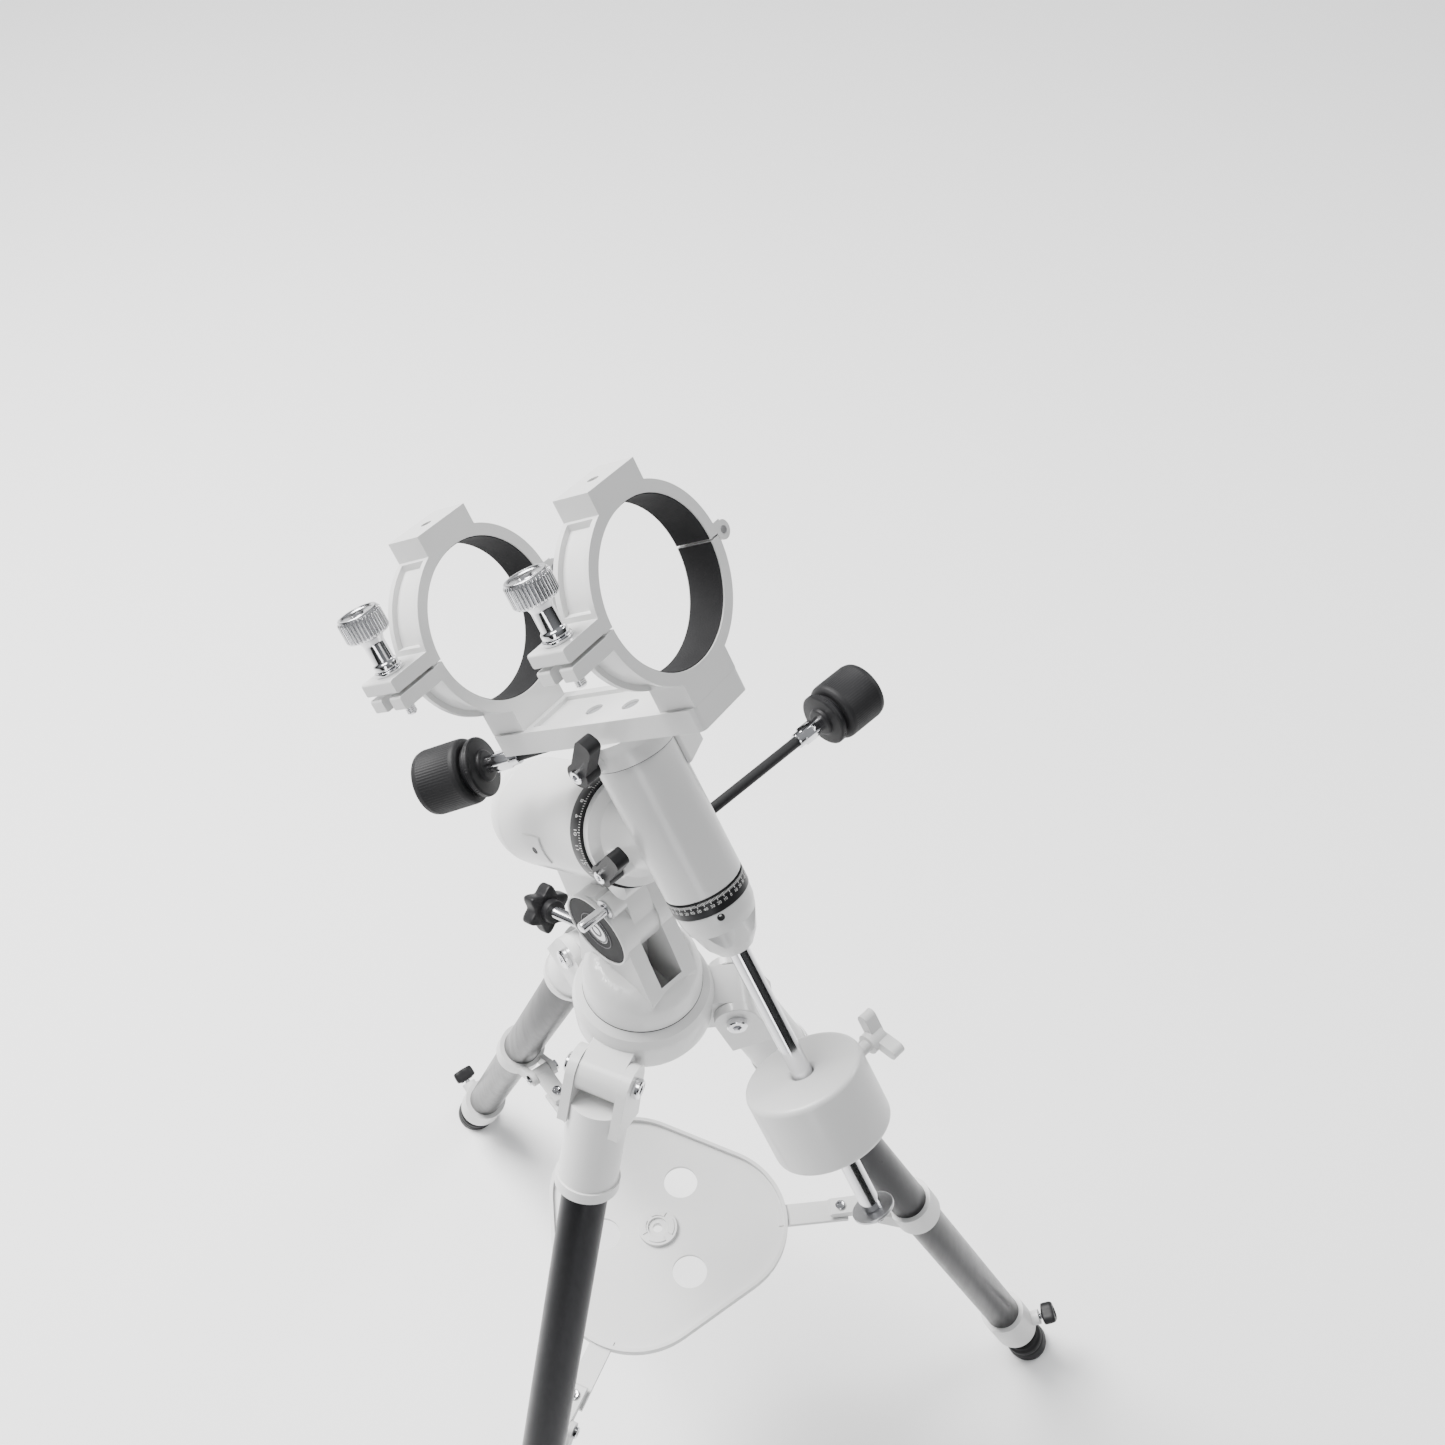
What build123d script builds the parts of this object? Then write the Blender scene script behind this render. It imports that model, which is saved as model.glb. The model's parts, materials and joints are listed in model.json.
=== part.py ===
from build123d import *
from math import cos, pi, radians, sin, sqrt
import os

os.makedirs("parts", exist_ok=True)

# Equatorial mount on a three-leg tripod, millimetres, +Z up.
# The origin is on the floor, under the azimuth axis; +X is north, +Y is west.

# ---------------------------------------------------------------- driving dimensions
LATITUDE = 36.0             # rise of the polar axis above the horizon
TUBE_SWING = 16.0           # ring cradle turned from the polar axis, about the dec axis
HUB_TOP = 725.0             # azimuth joint above the floor
POLAR_RISE = 166.0          # polar axis above the azimuth joint
DEC_ALONG = 49.0            # dec axis along the polar axis, from the azimuth axis
TUBE_RISE = 152.0           # tube axis above the polar axis, along the dec axis
PIVOT_S, PIVOT_Q = -71.0, -72.0     # latitude pivot, along and across the polar axis

LEG_TILT = 23.0             # leg from the vertical, legs open
LEG_BEARINGS = (51.0, 171.0, 291.0)
PIVOT_R, PIVOT_DROP = 60.0, 28.0    # leg pivot from the azimuth axis and joint
TUBE_R = 15.9               # upper leg tube, 31.8 mm outside
TUBE_WALL = 1.4
LOWER_R = 12.7              # lower leg tube, 25.4 mm outside
UPPER_END = 690.0           # end of the upper leg tube, from the pivot
COLLAR_AT = 390.0           # middle of the spreader collar, from the pivot
CLAMP_AT = 686.0            # middle of the leg clamp, from the pivot
FOOT_TIP = 762.0            # tip of the foot, leg closed up
LOWER_START = 300.0         # top of the lower leg, inside the upper one
LINK_PIN = 365.0            # spreader pin from the pivot
PIN_OFFSET = 30.0           # spreader pin inward of the leg's axis

BORE_R = 46.0               # clamped tube, 92 mm outside
RING_R = 53.0               # ring flange
RING_W = 25.0               # ring width along the tube
RING_AT = 65.0              # each ring from the dec axis, along the tube
RING_BLOCK = 40.0           # width of the foot and top blocks
RING_FOOT = 62.5            # foot below the tube axis
RING_TOP = 61.5             # top block above the tube axis
EAR_SCREW = 70.0            # thumb screw from the tube axis
EAR_HINGE = 58.0            # hinge pin from the tube axis
PLATE_T = 13.5              # saddle plate thickness

RUN = 0.05                  # radial gap of a turning fit

WORM_MODULE = 0.8
RA_TEETH = 72
DEC_TEETH = 50
WORM_R = 5.0                # pitch radius of both worms
MESH_GAP = 0.3              # tooth tip to root, and flank to flank

WEIGHT_R = 38.0             # counterweight radius
SHAFT_R = 6.35              # counterweight shaft, half an inch across


# ---------------------------------------------------------------- frames
def along(angle):
    """Unit vector in the meridian plane, rising north at this angle."""
    return Vector(cos(radians(angle)), 0, sin(radians(angle)))


POLAR = along(LATITUDE)
UP = along(LATITUDE + 90)
WEST = Vector(0, 1, 0)
POLAR_ORIGIN = Vector(0, 0, HUB_TOP + POLAR_RISE)
DEC_ORIGIN = POLAR_ORIGIN + POLAR * DEC_ALONG
SWING = radians(TUBE_SWING)
TUBE_DIR = POLAR * cos(SWING) + WEST * sin(SWING)
TUBE_SIDE = WEST * cos(SWING) - POLAR * sin(SWING)
TUBE_ORIGIN = DEC_ORIGIN + UP * TUBE_RISE

BASE = Plane.XY.offset(HUB_TOP)
RA = Plane(origin=POLAR_ORIGIN, x_dir=WEST, z_dir=POLAR)        # x west, y up, z polar
DEC = Plane(origin=DEC_ORIGIN, x_dir=POLAR, z_dir=UP)           # x polar, y west, z up
TUBE = Plane(origin=TUBE_ORIGIN, x_dir=TUBE_SIDE, z_dir=TUBE_DIR)  # x side, y up, z tube
SADDLE = Plane(origin=DEC_ORIGIN, x_dir=TUBE_DIR, z_dir=UP)     # x tube, y side, z up


def moved(plane, x=0.0, y=0.0, z=0.0, x_dir=None, z_dir=None):
    """The plane shifted by local distances, its axes swapped for local ones if given."""
    centre = plane.from_local_coords(Vector(x, y, z))
    if z_dir is None:
        return Plane(origin=centre, x_dir=plane.x_dir, z_dir=plane.z_dir)
    zero = plane.from_local_coords(Vector(0, 0, 0))
    new_x = plane.from_local_coords(Vector(*x_dir)) - zero
    new_z = plane.from_local_coords(Vector(*z_dir)) - zero
    return Plane(origin=centre, x_dir=new_x, z_dir=new_z)


def meridian(s, q):
    """World x and height of a point s along and q across the polar axis."""
    point = POLAR_ORIGIN + POLAR * s + UP * q
    return point.X, point.Z


# ---------------------------------------------------------------- basic shapes
def disc(plane, radius, start, end):
    """Cylinder about the plane's axis between two heights."""
    with BuildPart() as body:
        with BuildSketch(plane.offset(start)):
            Circle(radius)
        extrude(amount=end - start)
    return body.part


def tube(plane, outer, inner, start, end):
    """Hollow cylinder about the plane's axis between two heights."""
    with BuildPart() as body:
        with BuildSketch(plane.offset(start)):
            Circle(outer)
            Circle(inner, mode=Mode.SUBTRACT)
        extrude(amount=end - start)
    return body.part


def slab(plane, width, depth, start, end, corner=0.0):
    """Block centred on the plane's axis, with rounded upright corners."""
    with BuildPart() as body:
        with BuildSketch(plane.offset(start)):
            if corner > 0:
                RectangleRounded(width, depth, corner)
            else:
                Rectangle(width, depth)
        extrude(amount=end - start)
    return body.part


def turned(plane, profile):
    """Solid of revolution about the plane's axis from (radius, height) corners."""
    side = Plane(origin=plane.origin, x_dir=plane.x_dir, z_dir=-plane.y_dir)
    with BuildPart() as body:
        with BuildSketch(side):
            with BuildLine():
                Polyline(*profile, close=True)
            make_face()
        revolve(axis=Axis(plane.origin, plane.z_dir))
    return body.part


def prism(plane, corners, start, end):
    """Straight extrusion of a polygon drawn in the plane."""
    with BuildPart() as body:
        with BuildSketch(plane.offset(start)):
            with BuildLine():
                Polyline(*corners, close=True)
            make_face()
        extrude(amount=end - start)
    return body.part


def lobed(plane, radius, lobe, count, start, end):
    """Star-shaped grip: a disc with round lobes on its rim."""
    with BuildPart() as body:
        with BuildSketch(plane.offset(start)):
            Circle(radius)
            with PolarLocations(radius, count):
                Circle(lobe)
        extrude(amount=end - start)
    return body.part


def finish(builder, name):
    """Label the piece and write it."""
    builder.part.label = name
    export_step(builder.part, f"parts/{name}.step")


# ---------------------------------------------------------------- tripod head
HUB_LOW = -60.0
HUB_PROFILE = [(0, HUB_LOW), (24, HUB_LOW), (28, -52), (38, -41), (43.5, -37.5), (46, -32),
               (47, -12), (44.5, -4), (39.5, 0), (0, 0)]
SPIGOT_R = 20.0
SPIGOT_LENGTH = 12.0
STUD_R = 6.0
LUG_HALF = 14.8
LUG_R = 14.0


def radial(bearing):
    """Plane at a leg pivot: x outward, y up, z along the pivot."""
    turn = radians(bearing)
    outward = Vector(cos(turn), sin(turn), 0)
    centre = outward * PIVOT_R + Vector(0, 0, HUB_TOP - PIVOT_DROP)
    return Plane(origin=centre, x_dir=outward, z_dir=outward.cross(Vector(0, 0, 1)))


with BuildPart() as tripod_hub:
    add(turned(BASE, HUB_PROFILE))
    for bearing in LEG_BEARINGS:
        cheek = radial(bearing)
        add(prism(cheek, [(-30, LUG_R), (0, LUG_R), (0, -LUG_R), (-30, -24)], -LUG_HALF, LUG_HALF))
        add(disc(cheek, LUG_R, -LUG_HALF, LUG_HALF))
        add(prism(cheek, [(-22, -16), (40, -16), (40, -80), (-22, -80)], -24, 24),
            mode=Mode.SUBTRACT)
        add(disc(cheek, LUG_R, -LUG_HALF, LUG_HALF))
        add(disc(cheek, 4.0 + RUN, -LUG_HALF - 1, LUG_HALF + 1), mode=Mode.SUBTRACT)
    add(disc(BASE, SPIGOT_R + RUN, -SPIGOT_LENGTH - 0.5, 1), mode=Mode.SUBTRACT)
    add(disc(BASE, STUD_R + 0.5, HUB_LOW - 1, 0), mode=Mode.SUBTRACT)
finish(tripod_hub, "tripod_hub")

with BuildPart() as azimuth_bolt:
    add(disc(BASE, STUD_R, HUB_LOW - 20, 20 - SPIGOT_LENGTH))
    add(disc(BASE, 14.0, HUB_LOW - 4, HUB_LOW - 0.1))
    add(lobed(BASE, 16.0, 5.0, 6, HUB_LOW - 24, HUB_LOW - 4))
finish(azimuth_bolt, "azimuth_bolt")

with BuildPart() as leg_pivot_bolts:
    for bearing in LEG_BEARINGS:
        pin = radial(bearing)
        add(disc(pin, 4.0, -24, 24))
        add(disc(pin, 7.0, 22.1, 26))
        add(disc(pin, 7.0, -26, -22.1))
finish(leg_pivot_bolts, "leg_pivot_bolts")


# ---------------------------------------------------------------- legs
def leg_plane(bearing):
    """Plane at a leg pivot: x along the pivot, y outward, z down the leg."""
    turn = radians(bearing)
    tilt = radians(LEG_TILT)
    outward = Vector(cos(turn), sin(turn), 0)
    down = outward * sin(tilt) - Vector(0, 0, cos(tilt))
    centre = outward * PIVOT_R + Vector(0, 0, HUB_TOP - PIVOT_DROP)
    return Plane(origin=centre, x_dir=Vector(-sin(turn), cos(turn), 0), z_dir=down)


EAR_IN, EAR_OUT = 15.1, 22.0
SOCKET_R = 20.5


def make_leg_top(leg):
    across = moved(leg, x_dir=(0, 1, 0), z_dir=(1, 0, 0))
    with BuildPart() as piece:
        for side in (-1, 1):
            start, end = sorted((side * EAR_IN, side * EAR_OUT))
            add(disc(across, 15.0, start, end))
            add(prism(across, [(-15, 0), (15, 0), (17, 34), (-17, 34)], start, end))
        add(tube(leg, SOCKET_R, TUBE_R + RUN, 20, 92))
        add(disc(leg, SOCKET_R, 20, 27))
        add(tube(leg, SOCKET_R + 1.5, TUBE_R + RUN, 84, 92))
        add(disc(across, 4.0 + RUN, -24, 24), mode=Mode.SUBTRACT)
        add(disc(leg, TUBE_R + RUN, 27, 93), mode=Mode.SUBTRACT)
    return piece


def make_upper_leg(leg):
    with BuildPart() as piece:
        add(tube(leg, TUBE_R, TUBE_R - TUBE_WALL, 27, UPPER_END))
    return piece


def make_collar(leg):
    """Collar with a forked hinge lug on its inner side, and the hinge pin."""
    across = moved(leg, x_dir=(0, 0, 1), z_dir=(1, 0, 0))
    with BuildPart() as piece:
        add(tube(leg, TUBE_R + 4.0, TUBE_R + RUN, COLLAR_AT - 14, COLLAR_AT + 14))
        for side in (-1, 1):
            start, end = sorted((side * 7.3, side * 12.0))
            add(prism(across, [(COLLAR_AT - 12, 14), (COLLAR_AT + 12, 14),
                               (LINK_PIN + 6, PIN_OFFSET + 3.6), (LINK_PIN - 6, PIN_OFFSET - 3.6)],
                      start, end))
            add(disc(moved(across, x=LINK_PIN, y=PIN_OFFSET), 7.0, start, end))
        add(disc(moved(across, x=LINK_PIN, y=PIN_OFFSET), 3.0, -12.5, 12.5))
        add(disc(leg, TUBE_R + RUN, COLLAR_AT - 60, COLLAR_AT + 60), mode=Mode.SUBTRACT)
    return piece


def make_clamp(leg):
    """Split clamp at the end of the upper tube, with a threaded boss outside."""
    with BuildPart() as piece:
        add(tube(leg, TUBE_R + 4.5, TUBE_R + RUN, CLAMP_AT - 22, UPPER_END))
        add(tube(leg, TUBE_R + 4.5, LOWER_R + RUN, UPPER_END, CLAMP_AT + 24))
        boss = moved(leg, z=CLAMP_AT + 15, x_dir=(1, 0, 0), z_dir=(0, 1, 0))
        add(disc(boss, 7.0, 14, 27))
        add(disc(leg, LOWER_R + RUN, UPPER_END, CLAMP_AT + 30), mode=Mode.SUBTRACT)
        add(disc(boss, 3.0 + RUN, 5, 30), mode=Mode.SUBTRACT)
    return piece


def make_lock_screw(leg):
    boss = moved(leg, z=CLAMP_AT + 15, x_dir=(1, 0, 0), z_dir=(0, 1, 0))
    with BuildPart() as piece:
        add(disc(boss, 3.0, LOWER_R + 0.1, 34))
        add(lobed(boss, 7.0, 4.5, 3, 30, 42))
    return piece


def make_lower_leg(leg):
    """Sliding lower tube with a guide sleeve at its top and a rubber foot cut level."""
    with BuildPart() as piece:
        add(tube(leg, LOWER_R, LOWER_R - 1.4, LOWER_START, FOOT_TIP - 26))
        add(disc(leg, LOWER_R - 1.0, FOOT_TIP - 40, FOOT_TIP - 26))
        add(tube(leg, TUBE_R - TUBE_WALL - 0.1, LOWER_R - 0.5, LOWER_START, LOWER_START + 12))
        add(turned(leg, [(0, FOOT_TIP - 27), (17, FOOT_TIP - 27), (19, FOOT_TIP - 8),
                         (16, FOOT_TIP), (0, FOOT_TIP)]))
        add(slab(Plane.XY, 1200, 1200, -40, 0), mode=Mode.SUBTRACT)
    return piece


LINK_REACH = 34.0
PEG_AT = 24.0
LINK_HALF = 7.0
LINK_LOW = 4.0


def make_link(leg, bearing):
    """Bracket from the collar's lug to the tray's arm, level when the legs are open."""
    turn = radians(bearing)
    inward = Vector(-cos(turn), -sin(turn), 0)
    pin = leg.from_local_coords(Vector(0, -PIN_OFFSET, LINK_PIN))
    level = Plane(origin=pin, x_dir=inward, z_dir=Vector(-sin(turn), cos(turn), 0))
    with BuildPart() as piece:
        add(disc(level, 6.5, -LINK_HALF, LINK_HALF))
        add(prism(level, [(0, -LINK_LOW), (LINK_REACH - 4, -LINK_LOW), (LINK_REACH, 0),
                          (LINK_REACH - 2, 3), (14, 4), (0, 6)], -LINK_HALF, LINK_HALF))
        add(disc(level, 3.0 + RUN, -13, 13), mode=Mode.SUBTRACT)
        peg = moved(level, x=PEG_AT, y=-LINK_LOW, x_dir=(1, 0, 0), z_dir=(0, -1, 0))
        add(disc(peg, 3.0, -1, 4.2))
    return piece


for number, bearing in enumerate(LEG_BEARINGS, start=1):
    leg = leg_plane(bearing)
    finish(make_leg_top(leg), f"leg_top_{number}")
    finish(make_upper_leg(leg), f"upper_leg_{number}")
    finish(make_collar(leg), f"spreader_collar_{number}")
    finish(make_clamp(leg), f"leg_clamp_{number}")
    finish(make_lock_screw(leg), f"leg_lock_screw_{number}")
    finish(make_lower_leg(leg), f"lower_leg_{number}")
    finish(make_link(leg, bearing), f"spreader_link_{number}")

# ---------------------------------------------------------------- accessory tray
first_pin = leg_plane(LEG_BEARINGS[0]).from_local_coords(Vector(0, -PIN_OFFSET, LINK_PIN))
PEG_R = sqrt(first_pin.X ** 2 + first_pin.Y ** 2) - PEG_AT
ARM_T = 4.0
TRAY = Plane.XY.offset(first_pin.Z - LINK_LOW - 0.2 - ARM_T)
TRAY_FLAT = 87.0            # tray's side from its middle
TRAY_CORNER = 107.0         # tray's corner from its middle
ARM_END = PEG_R + 6.0

with BuildPart() as accessory_tray:
    with BuildSketch(TRAY) as tray_outline:
        RegularPolygon(2 * TRAY_FLAT, 3, rotation=LEG_BEARINGS[0])
        fillet(tray_outline.vertices(), 2 * TRAY_FLAT - TRAY_CORNER)
    extrude(amount=7)
    with BuildSketch(TRAY.offset(3)) as tray_floor:
        RegularPolygon(2 * TRAY_FLAT - 6, 3, rotation=LEG_BEARINGS[0])
        fillet(tray_floor.vertices(), 2 * TRAY_FLAT - TRAY_CORNER - 3)
    extrude(amount=5, mode=Mode.SUBTRACT)
    for bearing in LEG_BEARINGS:
        turn = radians(bearing)
        arm = Plane(origin=TRAY.origin, x_dir=(cos(turn), sin(turn), 0), z_dir=(0, 0, 1))
        add(slab(moved(arm, x=(TRAY_CORNER - 8 + ARM_END) / 2), ARM_END - TRAY_CORNER + 8, 18,
                 0, ARM_T))
        add(slab(moved(arm, x=PEG_R - 1.2), 10.6, 6.4, -1, 6, 3.1), mode=Mode.SUBTRACT)
    with BuildSketch(TRAY.offset(-1)):
        with PolarLocations(45, 3, start_angle=LEG_BEARINGS[0] + 60):
            Circle(14)
    extrude(amount=6, mode=Mode.SUBTRACT)
    add(disc(TRAY, 16, 0, 5))
    add(tube(TRAY, 16, 8, 5, 7))
    add(disc(TRAY, 4, -1, 8), mode=Mode.SUBTRACT)
finish(accessory_tray, "accessory_tray")

# ---------------------------------------------------------------- fork and latitude
SLOT_HALF = 9.0
CHEEK_HALF = 20.0
BADGE_R = 26.5
MERIDIAN = Plane(origin=(0, 0, 0), x_dir=(1, 0, 0), z_dir=(0, -1, 0))   # x north, y up
PIVOT = moved(MERIDIAN, *meridian(PIVOT_S, PIVOT_Q))
SCREW_RISE = 28.5
SCREW_TIP = (-24.6, HUB_TOP + 22.4)
SCREW_BACK = 82.0
SCREW = Plane(origin=(SCREW_TIP[0], 0, SCREW_TIP[1]), x_dir=(0, 1, 0),
              z_dir=-along(SCREW_RISE))
LOCK = moved(MERIDIAN, *meridian(-46.8, -52.5))
LOCK_R = 3.0

with BuildPart() as fork:
    add(turned(BASE, [(0, -SPIGOT_LENGTH), (SPIGOT_R, -SPIGOT_LENGTH), (SPIGOT_R, 0.05),
                      (34, 0.05), (34, 0.7), (39.5, 0.7), (39.5, 9), (38, 19), (33, 27),
                      (26, 31), (0, 31)]))
    add(prism(MERIDIAN, [(31, HUB_TOP + 27), meridian(-50, -88), meridian(-50, -52),
                         meridian(-56, -45.5), meridian(PIVOT_S, -45.5),
                         meridian(PIVOT_S - 26, PIVOT_Q), (-37, HUB_TOP + 8),
                         (31, HUB_TOP + 8)],
              -CHEEK_HALF, CHEEK_HALF))
    add(disc(PIVOT, 26.0, -CHEEK_HALF, CHEEK_HALF))
    add(disc(LOCK, 7.5, SLOT_HALF, CHEEK_HALF))
    add(prism(MERIDIAN, [(-27.5, HUB_TOP + 6), (28.5, HUB_TOP + 6), (28.5, HUB_TOP + 160),
                         (-90, HUB_TOP + 160), (-90, HUB_TOP + 30), (-27.5, HUB_TOP + 30)],
              -SLOT_HALF, SLOT_HALF), mode=Mode.SUBTRACT)
    add(disc(BASE, STUD_R + RUN, -13, 12), mode=Mode.SUBTRACT)
    add(disc(PIVOT, 6.0 + RUN, -22, 22), mode=Mode.SUBTRACT)
    add(disc(LOCK, LOCK_R + RUN, 0, 23), mode=Mode.SUBTRACT)
    add(disc(SCREW, 4.0 + RUN, -4, 40), mode=Mode.SUBTRACT)
finish(fork, "fork")

with BuildPart() as latitude_badges:
    for side in (-1, 1):
        start, end = sorted((side * (CHEEK_HALF + 2.7), side * (CHEEK_HALF + 4.2)))
        add(disc(PIVOT, BADGE_R - 1.0, start, end))
        start, end = sorted((side * CHEEK_HALF, side * (CHEEK_HALF + 2.7)))
        add(tube(PIVOT, BADGE_R, 12.0, start, end))
finish(latitude_badges, "latitude_badges")

with BuildPart() as latitude_pivot:
    add(disc(PIVOT, 6.0, -CHEEK_HALF - 2.5, CHEEK_HALF + 2.5))
    add(disc(PIVOT, 10.0, CHEEK_HALF + 0.05, CHEEK_HALF + 2.5))
    add(disc(PIVOT, 10.0, -CHEEK_HALF - 2.5, -CHEEK_HALF - 0.05))
finish(latitude_pivot, "latitude_pivot")

with BuildPart() as latitude_lock:
    add(disc(LOCK, LOCK_R, SLOT_HALF - 0.1, 32))
    add(disc(LOCK, LOCK_R + 0.6, 22.2, 41))
finish(latitude_lock, "latitude_lock")

with BuildPart() as latitude_screw:
    add(disc(SCREW, 4.0, 0, SCREW_BACK))
    add(disc(SCREW, 8.0, SCREW_BACK - 12, SCREW_BACK - 6))
    add(lobed(SCREW, 13.0, 4.5, 6, SCREW_BACK - 6, SCREW_BACK + 8))
finish(latitude_screw, "latitude_screw")

# ---------------------------------------------------------------- polar axis
HOUSING_R = 34.5
CAP_JOINT = -102.0
HOUSING_END = -13.2
RA_WHEEL_AT = -24.0
WHEEL_T = 7.0
CHAMBER_R = 30.4
RA_SHAFT_R = 12.0
RA_PITCH_R = WORM_MODULE * RA_TEETH / 2
RA_WORM = moved(RA, y=-RA_PITCH_R - WORM_R, z=RA_WHEEL_AT, x_dir=(0, 1, 0), z_dir=(1, 0, 0))
WORM_HALF = 11.0
JOURNAL_R = 3.5
BOSS_R = 10.0


def dome(length, radius, steps):
    """Quarter-ellipse corners from the rim to the pole."""
    return [(radius * cos(pi / 2 * i / steps), -length * sin(pi / 2 * i / steps))
            for i in range(steps + 1)]


with BuildPart() as ra_housing:
    add(disc(RA, HOUSING_R, CAP_JOINT, HOUSING_END))
    add(prism(MERIDIAN, [meridian(-42, -20), meridian(-100, -20), meridian(-100, -30),
                         meridian(-112, -36), meridian(-118, -62), (-42, HUB_TOP + 40),
                         (-27, HUB_TOP + 37), (-22, HUB_TOP + 30), (-22, HUB_TOP + 10),
                         (-3, HUB_TOP + 10), (-3, HUB_TOP + 44), meridian(-46.5, PIVOT_Q),
                         meridian(-42, -60)],
              -SLOT_HALF + 0.2, SLOT_HALF - 0.2))
    add(disc(PIVOT, 24.5, -SLOT_HALF + 0.2, SLOT_HALF - 0.2))
    add(disc(RA_WORM, BOSS_R, -17.5, 26))
    add(disc(RA, 60, HOUSING_END, 10), mode=Mode.SUBTRACT)
    add(disc(RA, RA_SHAFT_R + RUN, CAP_JOINT - 30, HOUSING_END + 1), mode=Mode.SUBTRACT)
    add(disc(RA, CHAMBER_R, RA_WHEEL_AT - WHEEL_T / 2 - 1, HOUSING_END + 1), mode=Mode.SUBTRACT)
    add(disc(RA_WORM, WORM_R + WORM_MODULE + 0.4, -WORM_HALF - 1, WORM_HALF + 1),
        mode=Mode.SUBTRACT)
    add(disc(RA_WORM, JOURNAL_R + RUN, -15.5, 30), mode=Mode.SUBTRACT)
    add(disc(PIVOT, 6.0 + RUN, -12, 12), mode=Mode.SUBTRACT)
    add(disc(RA, 28.0, -82, -52), mode=Mode.SUBTRACT)
finish(ra_housing, "ra_housing")

with BuildPart() as ra_end_cap:
    rim = [(r, CAP_JOINT - 0.05 + z) for r, z in dome(38, HOUSING_R, 10)]
    add(turned(RA, [(0, CAP_JOINT - 0.05)] + rim))
    add(turned(RA, [(0, CAP_JOINT + 1), (26, CAP_JOINT + 1), (24, CAP_JOINT - 18),
                    (0, CAP_JOINT - 28)]), mode=Mode.SUBTRACT)
    add(prism(MERIDIAN, [meridian(-96, -24), meridian(-100.4, -24), meridian(-100.4, -29.4),
                         meridian(-112.6, -35.5), meridian(-150, -75), meridian(-96, -80)],
              -SLOT_HALF - 0.1, SLOT_HALF + 0.1), mode=Mode.SUBTRACT)
finish(ra_end_cap, "ra_end_cap")

with BuildPart() as ra_shaft:
    add(disc(RA, RA_SHAFT_R, -108, 20))
    add(disc(RA, 15.0, -107, CAP_JOINT - 0.1))
finish(ra_shaft, "ra_shaft")


def make_wheel(plane, teeth, bore, thickness, centre, worm_at):
    """Worm wheel: straight teeth across the rim, bored for its seat."""
    pitch_r = WORM_MODULE * teeth / 2
    root_r = pitch_r - WORM_MODULE - MESH_GAP
    tip_r = pitch_r + WORM_MODULE - MESH_GAP
    quarter = 90.0 / teeth
    outline = []
    for index in range(teeth):
        middle = 360.0 * (index + 0.5) / teeth + worm_at
        for radius, turn in ((root_r, -0.95), (tip_r, -0.30), (tip_r, 0.30), (root_r, 0.95)):
            angle = radians(middle + turn * quarter)
            outline.append((radius * cos(angle), radius * sin(angle)))
    with BuildPart() as piece:
        with BuildSketch(plane.offset(centre - thickness / 2)):
            with BuildLine():
                Polyline(*outline, close=True)
            make_face()
            Circle(bore, mode=Mode.SUBTRACT)
        extrude(amount=thickness)
    return piece


ra_worm_wheel = make_wheel(RA, RA_TEETH, RA_SHAFT_R + RUN, WHEEL_T, RA_WHEEL_AT, -90.0)
finish(ra_worm_wheel, "ra_worm_wheel")


THREAD_LEAD = pi * WORM_MODULE
THREAD_TURNS = 6
WORM_CORE = WORM_R - WORM_MODULE - MESH_GAP
WORM_DEPTH = 2 * WORM_MODULE

with BuildPart() as worm_thread:
    with BuildLine() as helix:
        Helix(pitch=THREAD_LEAD, height=THREAD_TURNS * THREAD_LEAD, radius=WORM_CORE,
              center=(0, 0, -THREAD_TURNS * THREAD_LEAD / 2))
    with BuildSketch(Plane(origin=helix.line @ 0, x_dir=(1, 0, 0), z_dir=(0, -1, 0))):
        with BuildLine():
            Polyline((-0.3, -0.85), (WORM_DEPTH, -0.3), (WORM_DEPTH, 0.3), (-0.3, 0.85),
                     close=True)
        make_face()
    sweep(path=helix.line, is_frenet=True)


def make_worm(plane, back, front):
    """Worm with its journals, one thread ridge facing the wheel."""
    with BuildPart() as piece:
        add(disc(plane, WORM_CORE, -WORM_HALF, WORM_HALF))
        add(disc(plane, JOURNAL_R, back, front))
        with Locations(plane.location):
            add(worm_thread.part)
    return piece


CONTROL_R = 4.6
KNOB_R = 20.0


def make_control(plane, start, grip):
    """Slow-motion control: socket, stiff rod and a stepped rubber knob."""
    with BuildPart() as piece:
        add(disc(plane, CONTROL_R, start, grip))
        add(disc(plane, CONTROL_R + 1.3, start - 1, start + 10))
        add(disc(plane, CONTROL_R + 1.3, grip - 30, grip - 14))
        add(turned(plane, [(0, grip - 8), (14, grip - 8), (18, grip - 6), (18, grip - 3),
                           (15, grip - 1), (15, grip + 2), (KNOB_R, grip + 4),
                           (KNOB_R, grip + 30), (17, grip + 34), (0, grip + 34)]))
        add(disc(plane, JOURNAL_R, start - 2, start + 10), mode=Mode.SUBTRACT)
    return piece


finish(make_worm(RA_WORM, -15, 44), "ra_worm")
finish(make_control(RA_WORM, 34, 172), "ra_control")

RING_SEAT_R = 30.0
with BuildPart() as ra_circle:
    add(tube(RA, 35.7, RING_SEAT_R + RUN, HOUSING_END + 0.7, -0.2))
finish(ra_circle, "ra_circle")

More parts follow.
